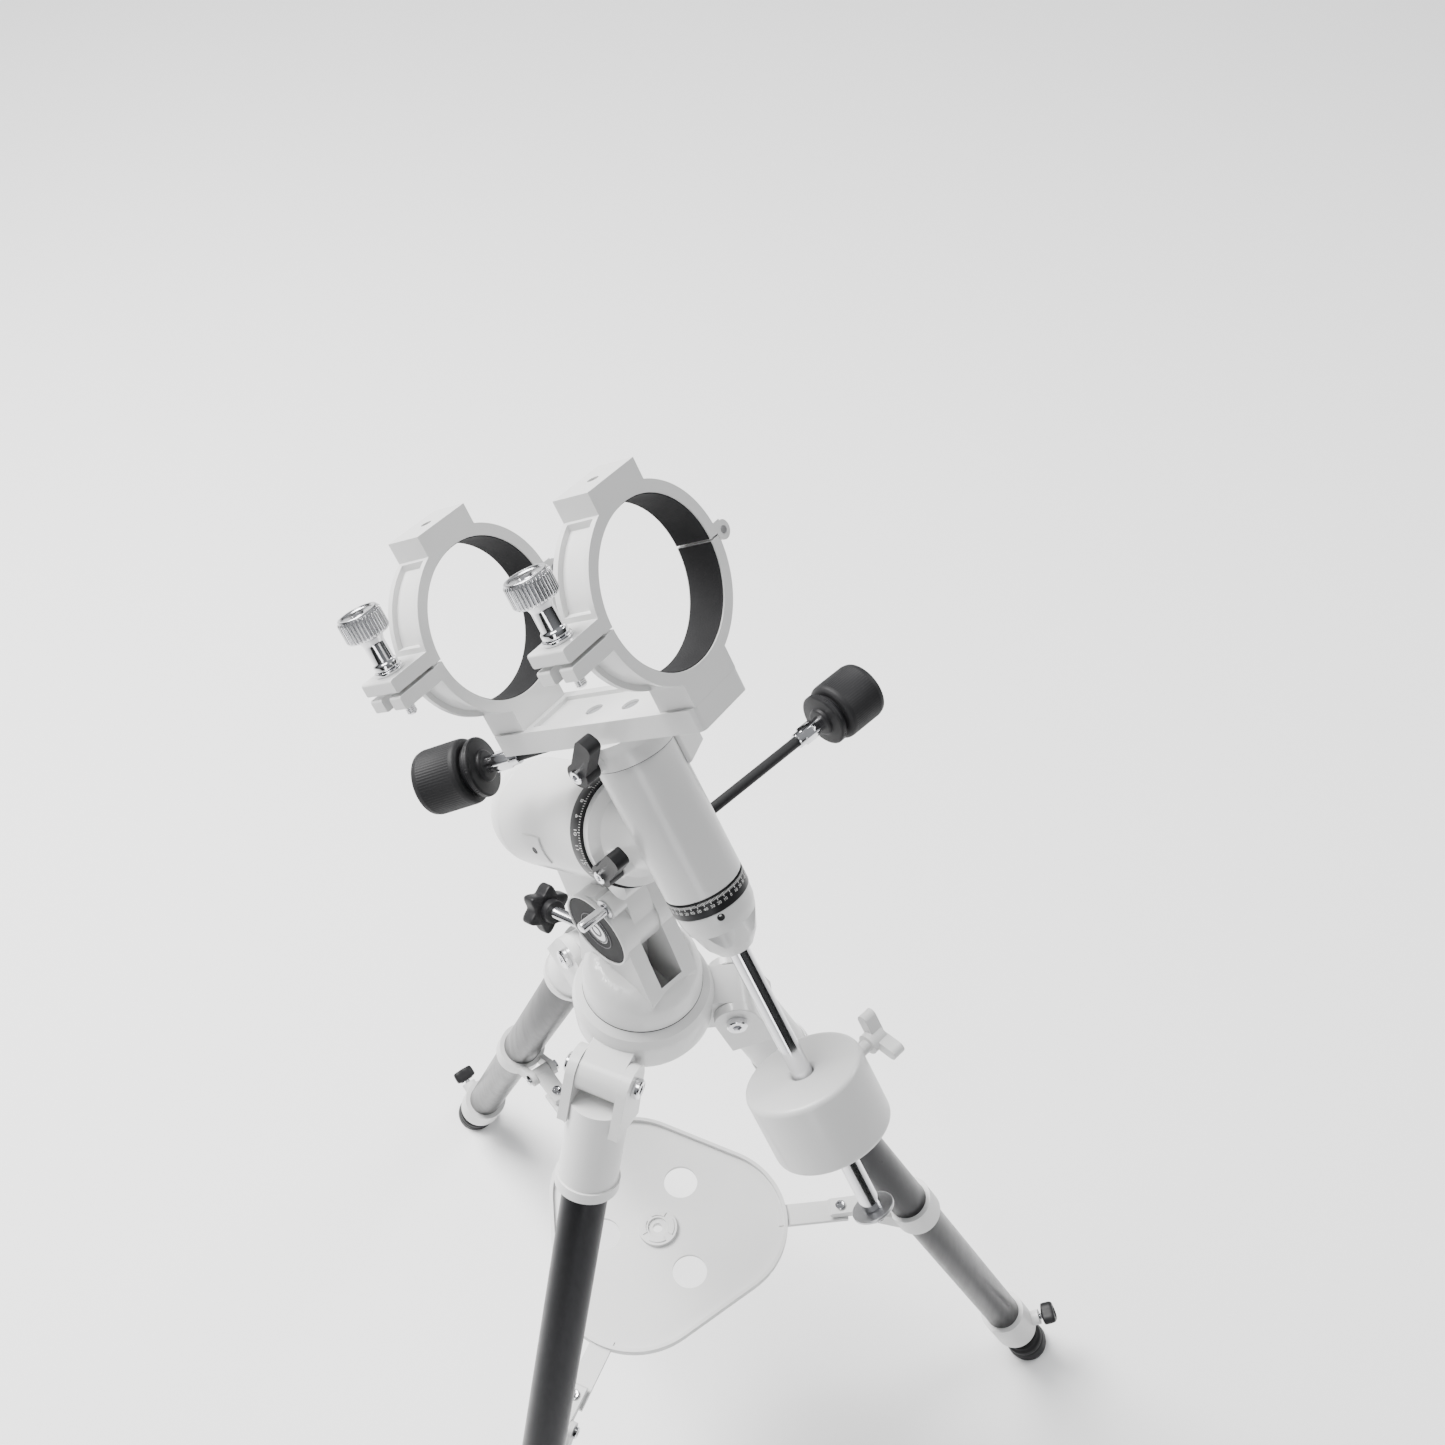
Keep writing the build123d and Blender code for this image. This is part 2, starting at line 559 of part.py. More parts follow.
# ---------------------------------------------------------------- declination axis
DEC_R = 24.0
DEC_LOW = -31.0
SEAM = 59.6
NECK_R = 15.0
DEC_SHAFT_R = 9.0
DEC_WHEEL_AT = 67.0
DEC_WHEEL_T = 5.0
DEC_PITCH_R = WORM_MODULE * DEC_TEETH / 2
WORM_SWING = 36.0

with BuildPart() as dec_housing:
    add(turned(DEC, [(0, DEC_LOW), (DEC_R - 1, DEC_LOW), (DEC_R, DEC_LOW + 1), (DEC_R, SEAM),
                     (0, SEAM)]))
    add(disc(DEC, NECK_R, SEAM, DEC_WHEEL_AT + DEC_WHEEL_T / 2 + 0.3))
    add(turned(RA, [(0, -12.4), (RING_SEAT_R, -12.4), (RING_SEAT_R, 0), (34, 0), (34, 5),
                    (28, 9), (24, 22), (21.5, 44), (0, 44)]))
    lever_boss = moved(RA, x=-20, y=-4, z=17, x_dir=(0, 1, 0), z_dir=(-1, 0, 0))
    add(disc(lever_boss, 9.0, -4, 9))
    add(disc(DEC, DEC_SHAFT_R + RUN, DEC_LOW - 1, 90), mode=Mode.SUBTRACT)
    add(disc(RA, RA_SHAFT_R, -13, 20.0), mode=Mode.SUBTRACT)
    add(disc(lever_boss, 3.0 + RUN, 4, 10), mode=Mode.SUBTRACT)
finish(dec_housing, "dec_housing")

CAP_TOP = -41.8
with BuildPart() as dec_shaft:
    add(disc(DEC, DEC_SHAFT_R, CAP_TOP - 16, 76.0))
finish(dec_shaft, "dec_shaft")

with BuildPart() as dec_circle:
    add(tube(DEC, DEC_R, 16.0 + RUN, CAP_TOP + 0.3, DEC_LOW - 0.3))
finish(dec_circle, "dec_circle")

with BuildPart() as shaft_cap:
    add(turned(DEC, [(0, CAP_TOP), (DEC_R - 0.5, CAP_TOP), (DEC_R - 1, -50), (21.5, -56),
                     (16, -70), (11, -77), (0, -77)]))
    add(disc(DEC, 16.0, CAP_TOP, DEC_LOW - 0.3))
    for index in range(6):
        turn = radians(60 * index + 20)
        add(disc(moved(DEC, x=30 * cos(turn), y=30 * sin(turn)), 13.0, -80, -56),
            mode=Mode.SUBTRACT)
    add(disc(DEC, DEC_SHAFT_R, CAP_TOP - 16, DEC_LOW + 1), mode=Mode.SUBTRACT)
    add(disc(DEC, SHAFT_R, -90, CAP_TOP - 16), mode=Mode.SUBTRACT)
finish(shaft_cap, "shaft_cap")

dec_worm_wheel = make_wheel(DEC, DEC_TEETH, NECK_R + RUN, DEC_WHEEL_T, DEC_WHEEL_AT,
                            90.0 + WORM_SWING)
finish(dec_worm_wheel, "dec_worm_wheel")

swing = radians(WORM_SWING)
worm_x = (-cos(swing), -sin(swing), 0)
worm_off = (-sin(swing) * (DEC_PITCH_R + WORM_R), cos(swing) * (DEC_PITCH_R + WORM_R))
DEC_WORM = moved(DEC, x=worm_off[0], y=worm_off[1], z=DEC_WHEEL_AT,
                 x_dir=(sin(swing), -cos(swing), 0), z_dir=worm_x)
HEAD_R = 25.4
HEAD_LOW = 60.0
HEAD_TOP = TUBE_RISE - RING_FOOT - PLATE_T
lever_turn = radians(-84)
lever_dir = (cos(lever_turn), sin(lever_turn), 0)
DEC_BOSS = moved(DEC, x=20 * lever_dir[0], y=20 * lever_dir[1], z=68, x_dir=(0, 0, 1),
                 z_dir=lever_dir)

with BuildPart() as dec_head:
    add(turned(DEC, [(0, HEAD_LOW), (HEAD_R, HEAD_LOW), (HEAD_R, 68), (28, HEAD_TOP),
                     (0, HEAD_TOP)]))
    add(slab(moved(DEC, x=-18 * sin(swing) + cos(swing), y=18 * cos(swing) + sin(swing),
                   x_dir=(sin(swing), -cos(swing), 0), z_dir=(0, 0, 1)),
             30, 50, 40, HEAD_TOP, 3))
    add(disc(DEC_BOSS, 6.5, 0, 9))
    add(disc(DEC, DEC_R + 0.4, 39, HEAD_LOW), mode=Mode.SUBTRACT)
    add(disc(DEC, 21.5, HEAD_LOW - 1, DEC_WHEEL_AT + DEC_WHEEL_T / 2 + 0.7), mode=Mode.SUBTRACT)
    add(disc(DEC_WORM, WORM_R + WORM_MODULE + 0.1, -WORM_HALF - 1, WORM_HALF + 1),
        mode=Mode.SUBTRACT)
    add(disc(DEC_WORM, JOURNAL_R + RUN, -24, 30), mode=Mode.SUBTRACT)
    add(disc(DEC, DEC_SHAFT_R, HEAD_LOW, 90), mode=Mode.SUBTRACT)
    add(disc(DEC_BOSS, 3.0 + RUN, 4, 10), mode=Mode.SUBTRACT)
    for side in (-1, 1):
        add(disc(moved(SADDLE, x=14 * side), 3.0, HEAD_TOP - 5, HEAD_TOP + 1), mode=Mode.SUBTRACT)
finish(dec_head, "dec_head")

finish(make_worm(DEC_WORM, -23, 42), "dec_worm")
finish(make_control(DEC_WORM, 32, 112), "dec_control")


def make_lever(plane, base, turn):
    """Clutch lever: threaded stem, hub and a short arm."""
    swing_plane = Plane(origin=plane.origin, x_dir=plane.x_dir.rotate(
        Axis((0, 0, 0), plane.z_dir), turn), z_dir=plane.z_dir)
    with BuildPart() as piece:
        add(disc(plane, 3.0, base - 4, base + 5))
        add(disc(plane, 7.5, base + 0.3, base + 11))
        add(slab(moved(swing_plane, x=13), 30, 11, base + 2, base + 11, 4))
    return piece


finish(make_lever(lever_boss, 9.0, 300), "ra_clutch_lever")
finish(make_lever(DEC_BOSS, 9.0, 315), "dec_clutch_lever")

# ---------------------------------------------------------------- counterweight
WEIGHT_TOP, WEIGHT_LOW = -171.0, -221.0
SHAFT_END = -280.0
with BuildPart() as counterweight_shaft:
    add(disc(DEC, SHAFT_R, SHAFT_END, CAP_TOP - 16.0))
    add(disc(DEC, 3.0, SHAFT_END - 7.5, SHAFT_END + 1))
finish(counterweight_shaft, "counterweight_shaft")

with BuildPart() as safety_stop:
    add(disc(DEC, 13.7, SHAFT_END - 2.3, SHAFT_END - 0.1))
    add(disc(DEC, 6.5, SHAFT_END - 9, SHAFT_END - 2.3))
    add(disc(DEC, 3.0 + RUN, SHAFT_END - 7.8, SHAFT_END + 1), mode=Mode.SUBTRACT)
finish(safety_stop, "safety_stop")

KNOB_HEIGHT = -190.0
KNOB_AXIS = moved(DEC, z=KNOB_HEIGHT, x_dir=(0, 0, 1), z_dir=(0, 1, 0))
with BuildPart() as counterweight:
    add(turned(DEC, [(SHAFT_R + 0.15, WEIGHT_LOW), (WEIGHT_R - 3, WEIGHT_LOW),
                     (WEIGHT_R, WEIGHT_LOW + 3), (WEIGHT_R, WEIGHT_TOP - 3),
                     (WEIGHT_R - 3, WEIGHT_TOP), (SHAFT_R + 0.15, WEIGHT_TOP)]))
    add(disc(KNOB_AXIS, 4.0 + RUN, 1, 50), mode=Mode.SUBTRACT)
finish(counterweight, "counterweight")

with BuildPart() as counterweight_knob:
    add(disc(KNOB_AXIS, 4.0, SHAFT_R + 0.1, 52))
    add(disc(KNOB_AXIS, 7.0, 48, 60))
    with BuildSketch(KNOB_AXIS.offset(52)):
        with PolarLocations(10, 3):
            SlotCenterToCenter(10, 8)
    extrude(amount=9)
finish(counterweight_knob, "counterweight_knob")

# ---------------------------------------------------------------- saddle and tube rings
PLATE_LENGTH = 155.0
PLATE_WIDTH = 44.0
with BuildPart() as saddle_plate:
    with BuildSketch(SADDLE.offset(HEAD_TOP)):
        RectangleRounded(PLATE_LENGTH, PLATE_WIDTH, 4)
    extrude(amount=PLATE_T)
    with BuildSketch(SADDLE.offset(HEAD_TOP + PLATE_T - 2.5)):
        Rectangle(2 * RING_AT - RING_BLOCK + 6, PLATE_WIDTH - 12)
    extrude(amount=3, mode=Mode.SUBTRACT)
    with BuildSketch(SADDLE.offset(HEAD_TOP - 1)):
        with Locations((-RING_AT, 0), (RING_AT, 0), (-14, 0), (14, 0)):
            Circle(3.2)
    extrude(amount=PLATE_T + 2, mode=Mode.SUBTRACT)
    with BuildSketch(SADDLE.offset(HEAD_TOP + 5)):
        with Locations((-14, 0), (14, 0)):
            Circle(5.3)
    extrude(amount=PLATE_T, mode=Mode.SUBTRACT)
finish(saddle_plate, "saddle_plate")

EAR_T = 8.0
HINGE_R = 5.5
PIN_HOLE_R = 2.0


def ring_half(sign, at):
    """Half of a tube ring; sign is +1 above the split and -1 below it."""
    reach = RING_TOP if sign > 0 else RING_FOOT
    half = RING_W / 2
    knuckles = ((-half, -4.5), (4.5, half)) if sign > 0 else ((-4.2, 4.2),)
    reliefs = ((-4.5, 4.5),) if sign > 0 else ((-half, -4.2), (4.2, half))
    face = TUBE.offset(at - half)
    middle = TUBE.offset(at)
    hinge = moved(middle, x=EAR_HINGE)
    with BuildPart() as piece:
        with BuildSketch(face):
            Circle(RING_R)
            with Locations((0, sign * (reach + 40) / 2)):
                Rectangle(RING_BLOCK, reach - 40)
            with Locations((0, -sign * 60)):
                Rectangle(120, 120 + 1.0, mode=Mode.SUBTRACT)
            with Locations((-63, sign * (1 + EAR_T / 2))):
                RectangleRounded(38, EAR_T, 1.5)
        extrude(amount=RING_W)
        with BuildSketch(face.offset(3.5)):
            Circle(RING_R + 1)
            Circle(RING_R - 3.5, mode=Mode.SUBTRACT)
            with Locations((0, sign * 50)):
                Rectangle(RING_BLOCK + 3, 60, mode=Mode.SUBTRACT)
            with Locations((-60, 0)):
                Rectangle(60, 24, mode=Mode.SUBTRACT)
            with Locations((60, 0)):
                Rectangle(40, 18, mode=Mode.SUBTRACT)
        extrude(amount=RING_W - 7, mode=Mode.SUBTRACT)
        for start, end in knuckles:
            add(disc(hinge, HINGE_R, start, end))
            add(slab(moved(middle, x=53, y=sign * 3.5), 10, 6, start, end))
        for start, end in reliefs:
            add(disc(hinge, HINGE_R + 0.4, start, end), mode=Mode.SUBTRACT)
        add(disc(middle, BORE_R, -half - 1, half + 1), mode=Mode.SUBTRACT)
        add(disc(hinge, PIN_HOLE_R + (RUN if sign > 0 else 0), -half - 1, half + 1),
            mode=Mode.SUBTRACT)
        screw = moved(middle, x=-EAR_SCREW, x_dir=(1, 0, 0), z_dir=(0, 1, 0))
        if sign > 0:
            add(disc(screw, 3.0 + RUN, 0, 20), mode=Mode.SUBTRACT)
            top = moved(middle, x_dir=(1, 0, 0), z_dir=(0, 1, 0))
            add(disc(top, 3.175, RING_TOP - 12, RING_TOP + 1), mode=Mode.SUBTRACT)
        else:
            add(slab(moved(screw, x=-10), 26.8, 6.8, -20, 0), mode=Mode.SUBTRACT)
            foot = moved(middle, x_dir=(1, 0, 0), z_dir=(0, 1, 0))
            add(disc(foot, 3.0, -RING_FOOT - 1, -RING_FOOT + 9), mode=Mode.SUBTRACT)
    return piece


def thumb_screw(at):
    """Knurled screw of a ring: thread, washer, stem and head."""
    screw = moved(TUBE, x=-EAR_SCREW, z=at, x_dir=(1, 0, 0), z_dir=(0, 1, 0))
    with BuildPart() as piece:
        add(turned(screw, [(0, -17), (2.4, -17), (3, -16.4), (3, 9.1), (8, 9.1), (8, 11.5),
                           (6, 12), (6, 27), (11, 31), (12.5, 32), (12.5, 44), (11, 45.5),
                           (0, 45.5)]))
    return piece


with BuildPart() as ring_hinge_pins:
    for at in (-RING_AT, RING_AT):
        add(disc(moved(TUBE, x=EAR_HINGE, z=at), PIN_HOLE_R, -RING_W / 2 - 0.6, RING_W / 2 + 0.6))
finish(ring_hinge_pins, "ring_hinge_pins")

for name, at in (("south", -RING_AT), ("north", RING_AT)):
    finish(ring_half(-1, at), f"ring_lower_{name}")
    finish(ring_half(1, at), f"ring_upper_{name}")
    finish(thumb_screw(at), f"ring_screw_{name}")

with BuildPart() as cradle_bolts:
    for at in (-RING_AT, RING_AT):
        bolt = moved(SADDLE, x=at)
        add(disc(bolt, 3.0, HEAD_TOP - 1, HEAD_TOP + PLATE_T + 8))
        add(disc(bolt, 5.2, HEAD_TOP - 2.8, HEAD_TOP - 0.05))
    for at in (-14, 14):
        bolt = moved(SADDLE, x=at)
        add(disc(bolt, 3.0, HEAD_TOP - 4.5, HEAD_TOP + 5))
        add(disc(bolt, 5.0, HEAD_TOP + 5, HEAD_TOP + 10))
finish(cradle_bolts, "cradle_bolts")
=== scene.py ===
import bpy
import bmesh
import json
import math
from mathutils import Matrix, Vector

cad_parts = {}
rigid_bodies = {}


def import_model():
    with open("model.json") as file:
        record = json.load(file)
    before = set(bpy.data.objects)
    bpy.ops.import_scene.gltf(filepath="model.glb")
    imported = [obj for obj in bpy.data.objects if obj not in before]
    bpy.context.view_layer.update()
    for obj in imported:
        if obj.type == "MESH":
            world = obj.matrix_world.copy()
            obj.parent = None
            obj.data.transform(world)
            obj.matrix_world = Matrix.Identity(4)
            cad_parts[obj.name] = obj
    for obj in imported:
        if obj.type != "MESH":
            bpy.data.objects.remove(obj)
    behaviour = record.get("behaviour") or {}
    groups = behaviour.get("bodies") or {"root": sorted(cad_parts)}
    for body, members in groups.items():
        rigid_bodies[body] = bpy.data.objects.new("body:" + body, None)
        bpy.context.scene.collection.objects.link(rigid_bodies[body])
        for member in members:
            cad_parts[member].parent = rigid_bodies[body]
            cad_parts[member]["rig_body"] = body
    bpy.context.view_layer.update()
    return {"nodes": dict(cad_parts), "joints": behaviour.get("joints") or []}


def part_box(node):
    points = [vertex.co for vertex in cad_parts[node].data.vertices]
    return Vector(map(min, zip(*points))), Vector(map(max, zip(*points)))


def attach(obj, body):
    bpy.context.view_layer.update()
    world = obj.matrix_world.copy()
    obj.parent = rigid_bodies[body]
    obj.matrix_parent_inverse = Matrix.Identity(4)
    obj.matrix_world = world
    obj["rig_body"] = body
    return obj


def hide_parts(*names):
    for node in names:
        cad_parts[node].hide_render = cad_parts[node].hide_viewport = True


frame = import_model()
NODES = frame["nodes"]
JOINTS = {j["name"]: j for j in frame["joints"]}
MM = 0.001
TAU = 2 * math.pi


# ------------------------------------------------------------------ materials
class Shader:
    """Small builder for a procedural principled material."""

    def __init__(self, name, rough, metal=0.0, coat=0.0, ior=1.5):
        self.mat = bpy.data.materials.new(name)
        self.mat.use_nodes = True
        self.tree = self.mat.node_tree
        self.bsdf = self.tree.nodes["Principled BSDF"]
        self.bsdf.inputs["Metallic"].default_value = metal
        self.bsdf.inputs["Roughness"].default_value = rough
        self.bsdf.inputs["Coat Weight"].default_value = coat
        self.bsdf.inputs["Coat Roughness"].default_value = 0.12
        self.bsdf.inputs["IOR"].default_value = ior
        self.coord = self.tree.nodes.new("ShaderNodeTexCoord").outputs["Object"]

    def link(self, a, b):
        self.tree.links.new(a, b)

    def stretched(self, matrix_scale):
        node = self.tree.nodes.new("ShaderNodeMapping")
        node.inputs["Scale"].default_value = matrix_scale
        self.link(self.coord, node.inputs["Vector"])
        return node.outputs["Vector"]

    def noise(self, scale, detail=4.0, rough=0.55, vector=None):
        node = self.tree.nodes.new("ShaderNodeTexNoise")
        node.inputs["Scale"].default_value = scale
        node.inputs["Detail"].default_value = detail
        node.inputs["Roughness"].default_value = rough
        self.link(vector or self.coord, node.inputs["Vector"])
        return node.outputs["Fac"]

    def ramp(self, fac, stops):
        node = self.tree.nodes.new("ShaderNodeValToRGB")
        first, last = node.color_ramp.elements
        first.position, first.color = stops[0][0], (*stops[0][1], 1)
        last.position, last.color = stops[-1][0], (*stops[-1][1], 1)
        for at, colour in stops[1:-1]:
            item = node.color_ramp.elements.new(at)
            item.color = (*colour, 1)
        self.link(fac, node.inputs["Fac"])
        return node.outputs["Color"]

    def mix(self, fac, a, b):
        node = self.tree.nodes.new("ShaderNodeMix")
        node.data_type = "RGBA"
        self.link(fac, node.inputs["Factor"])
        for socket, value in ((node.inputs["A"], a), (node.inputs["B"], b)):
            if isinstance(value, tuple):
                socket.default_value = (*value, 1)
            else:
                self.link(value, socket)
        return node.outputs["Result"]

    def spread(self, fac, low, high):
        node = self.tree.nodes.new("ShaderNodeMapRange")
        node.inputs["To Min"].default_value = low
        node.inputs["To Max"].default_value = high
        self.link(fac, node.inputs["Value"])
        return node.outputs["Result"]

    def colour(self, socket):
        self.link(socket, self.bsdf.inputs["Base Color"])

    def roughness(self, socket):
        self.link(socket, self.bsdf.inputs["Roughness"])

    def bump(self, heights):
        last = None
        for height, strength, distance in heights:
            node = self.tree.nodes.new("ShaderNodeBump")
            node.inputs["Strength"].default_value = strength
            node.inputs["Distance"].default_value = distance
            self.link(height, node.inputs["Height"])
            if last is not None:
                self.link(last, node.inputs["Normal"])
            last = node.outputs["Normal"]
        self.link(last, self.bsdf.inputs["Normal"])

    def edges(self, low=0.52, high=0.62):
        node = self.tree.nodes.new("ShaderNodeNewGeometry")
        ramp = self.tree.nodes.new("ShaderNodeValToRGB")
        ramp.color_ramp.elements[0].position = low
        ramp.color_ramp.elements[1].position = high
        self.link(node.outputs["Pointiness"], ramp.inputs["Fac"])
        return ramp.outputs["Color"]


def painted(name, light, dark, rough, coat, peel):
    s = Shader(name, rough, coat=coat)
    patch = s.noise(14, 5)
    grain = s.noise(900, 3)
    base = s.mix(s.spread(patch, 0.15, 0.85), light, dark)
    specks = s.ramp(s.noise(420, 2, 0.7), [(0.0, (0, 0, 0)), (0.74, (0, 0, 0)), (0.8, (1, 1, 1))])
    tone = tuple(c * 0.9 for c in dark)
    s.colour(s.mix(s.spread(specks, 0.0, 0.35), base, tone))
    s.roughness(s.spread(s.noise(60, 6), rough - 0.06, rough + 0.1))
    s.bump([(s.noise(260, 3), peel, 0.0004), (grain, peel * 0.5, 0.0001)])
    return s.mat


def metal(name, light, dark, rough, stretch, scratch):
    s = Shader(name, rough, metal=1.0)
    along = s.stretched(stretch)
    streak = s.noise(30, 5, 0.6, along)
    s.colour(s.mix(s.spread(streak, 0.1, 0.9), dark, light))
    s.roughness(s.spread(s.noise(18, 6, 0.6, along), rough * 0.7, rough * 1.4))
    s.bump([(streak, scratch, 0.0001), (s.noise(1200, 2), scratch * 0.4, 0.00005)])
    return s.mat


def moulded(name, light, dark, rough, texture, depth, scale=1400):
    s = Shader(name, rough)
    s.bsdf.inputs["Specular IOR Level"].default_value = 0.45 if light[0] > 0.4 else 0.22
    s.colour(s.mix(s.spread(s.noise(25, 5), 0.1, 0.9), dark, light))
    s.roughness(s.spread(s.noise(80, 5), rough - 0.08, rough + 0.1))
    s.bump([(s.noise(scale, 2, 0.7), texture, depth), (s.noise(90, 3), texture * 0.4, depth)])
    return s.mat


WHITE = painted("white_paint", (0.70, 0.70, 0.695), (0.65, 0.65, 0.645), 0.30, 0.35, 0.10)
WEIGHT = painted("weight_paint", (0.69, 0.69, 0.685), (0.63, 0.63, 0.625), 0.36, 0.25, 0.28)
PLASTIC = moulded("white_plastic", (0.68, 0.68, 0.675), (0.61, 0.61, 0.605), 0.38, 0.14, 0.0003, 600)
RUBBER = moulded("black_rubber", (0.020, 0.020, 0.021), (0.010, 0.010, 0.011), 0.55, 0.35, 0.0003)
BLACK = moulded("black_plastic", (0.016, 0.016, 0.017), (0.008, 0.008, 0.009), 0.44, 0.25, 0.0002)
BADGE = moulded("badge_black", (0.011, 0.011, 0.012), (0.006, 0.006, 0.007), 0.62, 0.12, 0.0001)
FELT = moulded("ring_felt", (0.030, 0.030, 0.031), (0.012, 0.012, 0.013), 0.85, 0.6, 0.0004, 900)
CIRCLE = moulded("circle_black", (0.018, 0.018, 0.019), (0.008, 0.008, 0.009), 0.33, 0.10, 0.0001)
INK = moulded("white_ink", (0.80, 0.80, 0.79), (0.66, 0.66, 0.65), 0.5, 0.05, 0.0001)
GREY = moulded("grey_emboss", (0.12, 0.12, 0.125), (0.07, 0.07, 0.075), 0.42, 0.15, 0.0001)
CHROME = metal("chrome", (0.80, 0.80, 0.81), (0.66, 0.66, 0.68), 0.12, (1, 1, 1), 0.06)
KNURL = metal("turned_bright", (0.78, 0.78, 0.79), (0.58, 0.58, 0.60), 0.22, (1, 1, 1), 0.12)
TUBE = metal("leg_tube", (0.030, 0.030, 0.032), (0.018, 0.018, 0.019), 0.30, (8, 8, 0.6), 0.10)
STEEL = metal("machined_steel", (0.60, 0.60, 0.61), (0.42, 0.42, 0.43), 0.30, (6, 6, 1), 0.15)
BRASS = metal("brass", (0.76, 0.60, 0.30), (0.58, 0.42, 0.18), 0.28, (1, 1, 1), 0.10)


# ------------------------------------------------------------------ mesh helpers
def place(origin, z, x=None):
    """Matrix from local millimetres to the row frame."""
    z = Vector(z).normalized()
    if x is None:
        x = Vector((0, 0, 1)) if abs(z.z) < 0.9 else Vector((1, 0, 0))
    x = Vector(x)
    x = (x - z * x.dot(z)).normalized()
    y = z.cross(x)
    m = Matrix((x, y, z)).transposed().to_4x4()
    m.translation = Vector(origin)
    return m @ Matrix.Scale(MM, 4)


def shift(m, x=0.0, y=0.0, z=0.0):
    return m @ Matrix.Translation((x, y, z))


def joint_place(name, x=None, back=0.0):
    """Local frame of a joint: z along its axis, moved back so that z counts from the design's origin."""
    j = JOINTS[name]
    return shift(place(j["pos_m"], j["axis"], x), z=-back)


def build(name, verts, faces, m, body, mat, smooth=35.0, bevel=0.0, segments=3, stands_for=()):
    mesh = bpy.data.meshes.new(name)
    mesh.from_pydata([m @ Vector(v) for v in verts], [], faces)
    bm = bmesh.new()
    bm.from_mesh(mesh)
    bmesh.ops.remove_doubles(bm, verts=bm.verts, dist=2e-6)
    bmesh.ops.recalc_face_normals(bm, faces=bm.faces)
    bm.to_mesh(mesh)
    bm.free()
    mesh.polygons.foreach_set("use_smooth", [True] * len(mesh.polygons))
    if not bevel:
        mesh.set_sharp_from_angle(angle=math.radians(smooth))
    obj = bpy.data.objects.new(name, mesh)
    bpy.context.scene.collection.objects.link(obj)
    mesh.materials.append(mat)
    if bevel:
        soften(obj, bevel, segments)
    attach(obj, body)
    if stands_for:
        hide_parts(*stands_for)
    return obj


def soften(obj, width, segments=3, angle=32.0):
    mod = obj.modifiers.new("edges", "BEVEL")
    mod.width = width * MM
    mod.segments = segments
    mod.limit_method = "ANGLE"
    mod.angle_limit = math.radians(angle)
    mod.use_clamp_overlap = True
    mod.miter_outer = "MITER_ARC"
    weigh = obj.modifiers.new("normals", "WEIGHTED_NORMAL")
    weigh.keep_sharp = False


def refined(node, mat, width=0.8, segments=3):
    """Clean copy of a CAD node with rounded edges, standing for it."""
    source = NODES[node]
    bm = bmesh.new()
    bm.from_mesh(source.data)
    bmesh.ops.remove_doubles(bm, verts=bm.verts, dist=2e-6)
    bmesh.ops.dissolve_limit(bm, angle_limit=math.radians(0.4), use_dissolve_boundaries=False,
                             verts=bm.verts, edges=bm.edges)
    bmesh.ops.recalc_face_normals(bm, faces=bm.faces)
    mesh = bpy.data.meshes.new(node + "_cast")
    bm.to_mesh(mesh)
    bm.free()
    mesh.polygons.foreach_set("use_smooth", [True] * len(mesh.polygons))
    obj = bpy.data.objects.new(node + "_cast", mesh)
    bpy.context.scene.collection.objects.link(obj)
    mesh.materials.append(mat)
    soften(obj, width, segments)
    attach(obj, source["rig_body"])
    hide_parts(node)
    return obj


def rounded(points, radius, steps=4):
    """Polyline with its inner corners rounded."""
    out = [points[0]]
    for i in range(1, len(points) - 1):
        a, b, c = (Vector(p) for p in points[i - 1:i + 2])
        ra = min(radius, (a - b).length * 0.45)
        rc = min(radius, (c - b).length * 0.45)
        p = b + (a - b).normalized() * ra
        q = b + (c - b).normalized() * rc
        for k in range(steps + 1):
            t = k / steps
            out.append(tuple(p * (1 - t) ** 2 + b * 2 * t * (1 - t) + q * t ** 2))
    out.append(points[-1])
    return out


def lathe(name, profile, m, body, mat, segs=96, mod=None, closed=False, round_by=0.0, smooth=35.0,
          stands_for=()):
    """Turned piece from (radius, height) points; mod(r, z, angle) reshapes the radius."""
    if round_by:
        profile = rounded(profile, round_by)
    verts, faces = [], []
    n = len(profile)
    for i in range(segs):
        th = TAU * i / segs
        for r, z in profile:
            rr = mod(r, z, th) if mod and r > 0 else r
            verts.append((rr * math.cos(th), rr * math.sin(th), z))
    last = n if closed else n - 1
    for i in range(segs):
        j = (i + 1) % segs
        for k in range(last):
            l = (k + 1) % n
            faces.append((i * n + k, j * n + k, j * n + l, i * n + l))
    return build(name, verts, faces, m, body, mat, smooth=smooth, stands_for=stands_for)


def hexagon(low, high):
    """Radius changer that makes a hexagon between two heights."""
    def change(r, z, th):
        if low <= z <= high:
            return r * math.cos(math.pi / 6) / math.cos((th % (math.pi / 3)) - math.pi / 6)
        return r
    return change


def knurl(low, high, count, depth):
    def change(r, z, th):
        if low <= z <= high:
            return r - depth * abs(math.sin(count * th / 2))
        return r
    return change


def lobes(count, depth, power=1.0):
    def change(r, z, th):
        return r * (1 - depth * (0.5 - 0.5 * math.cos(count * th)) ** power)
    return change


def ring_piece(name, r_in, r_out, z0, z1, m, body, mat, soft=0.3, segs=128, stands_for=()):
    loop = [(r_in, z0), (r_out, z0), (r_out, z1), (r_in, z1)]
    pts = rounded([((r_in + r_out) / 2, z0)] + loop[1:] + [loop[0]] + [((r_in + r_out) / 2, z0)],
                  soft, 3)[:-1]
    return lathe(name, pts, m, body, mat, segs=segs, closed=True, stands_for=stands_for)


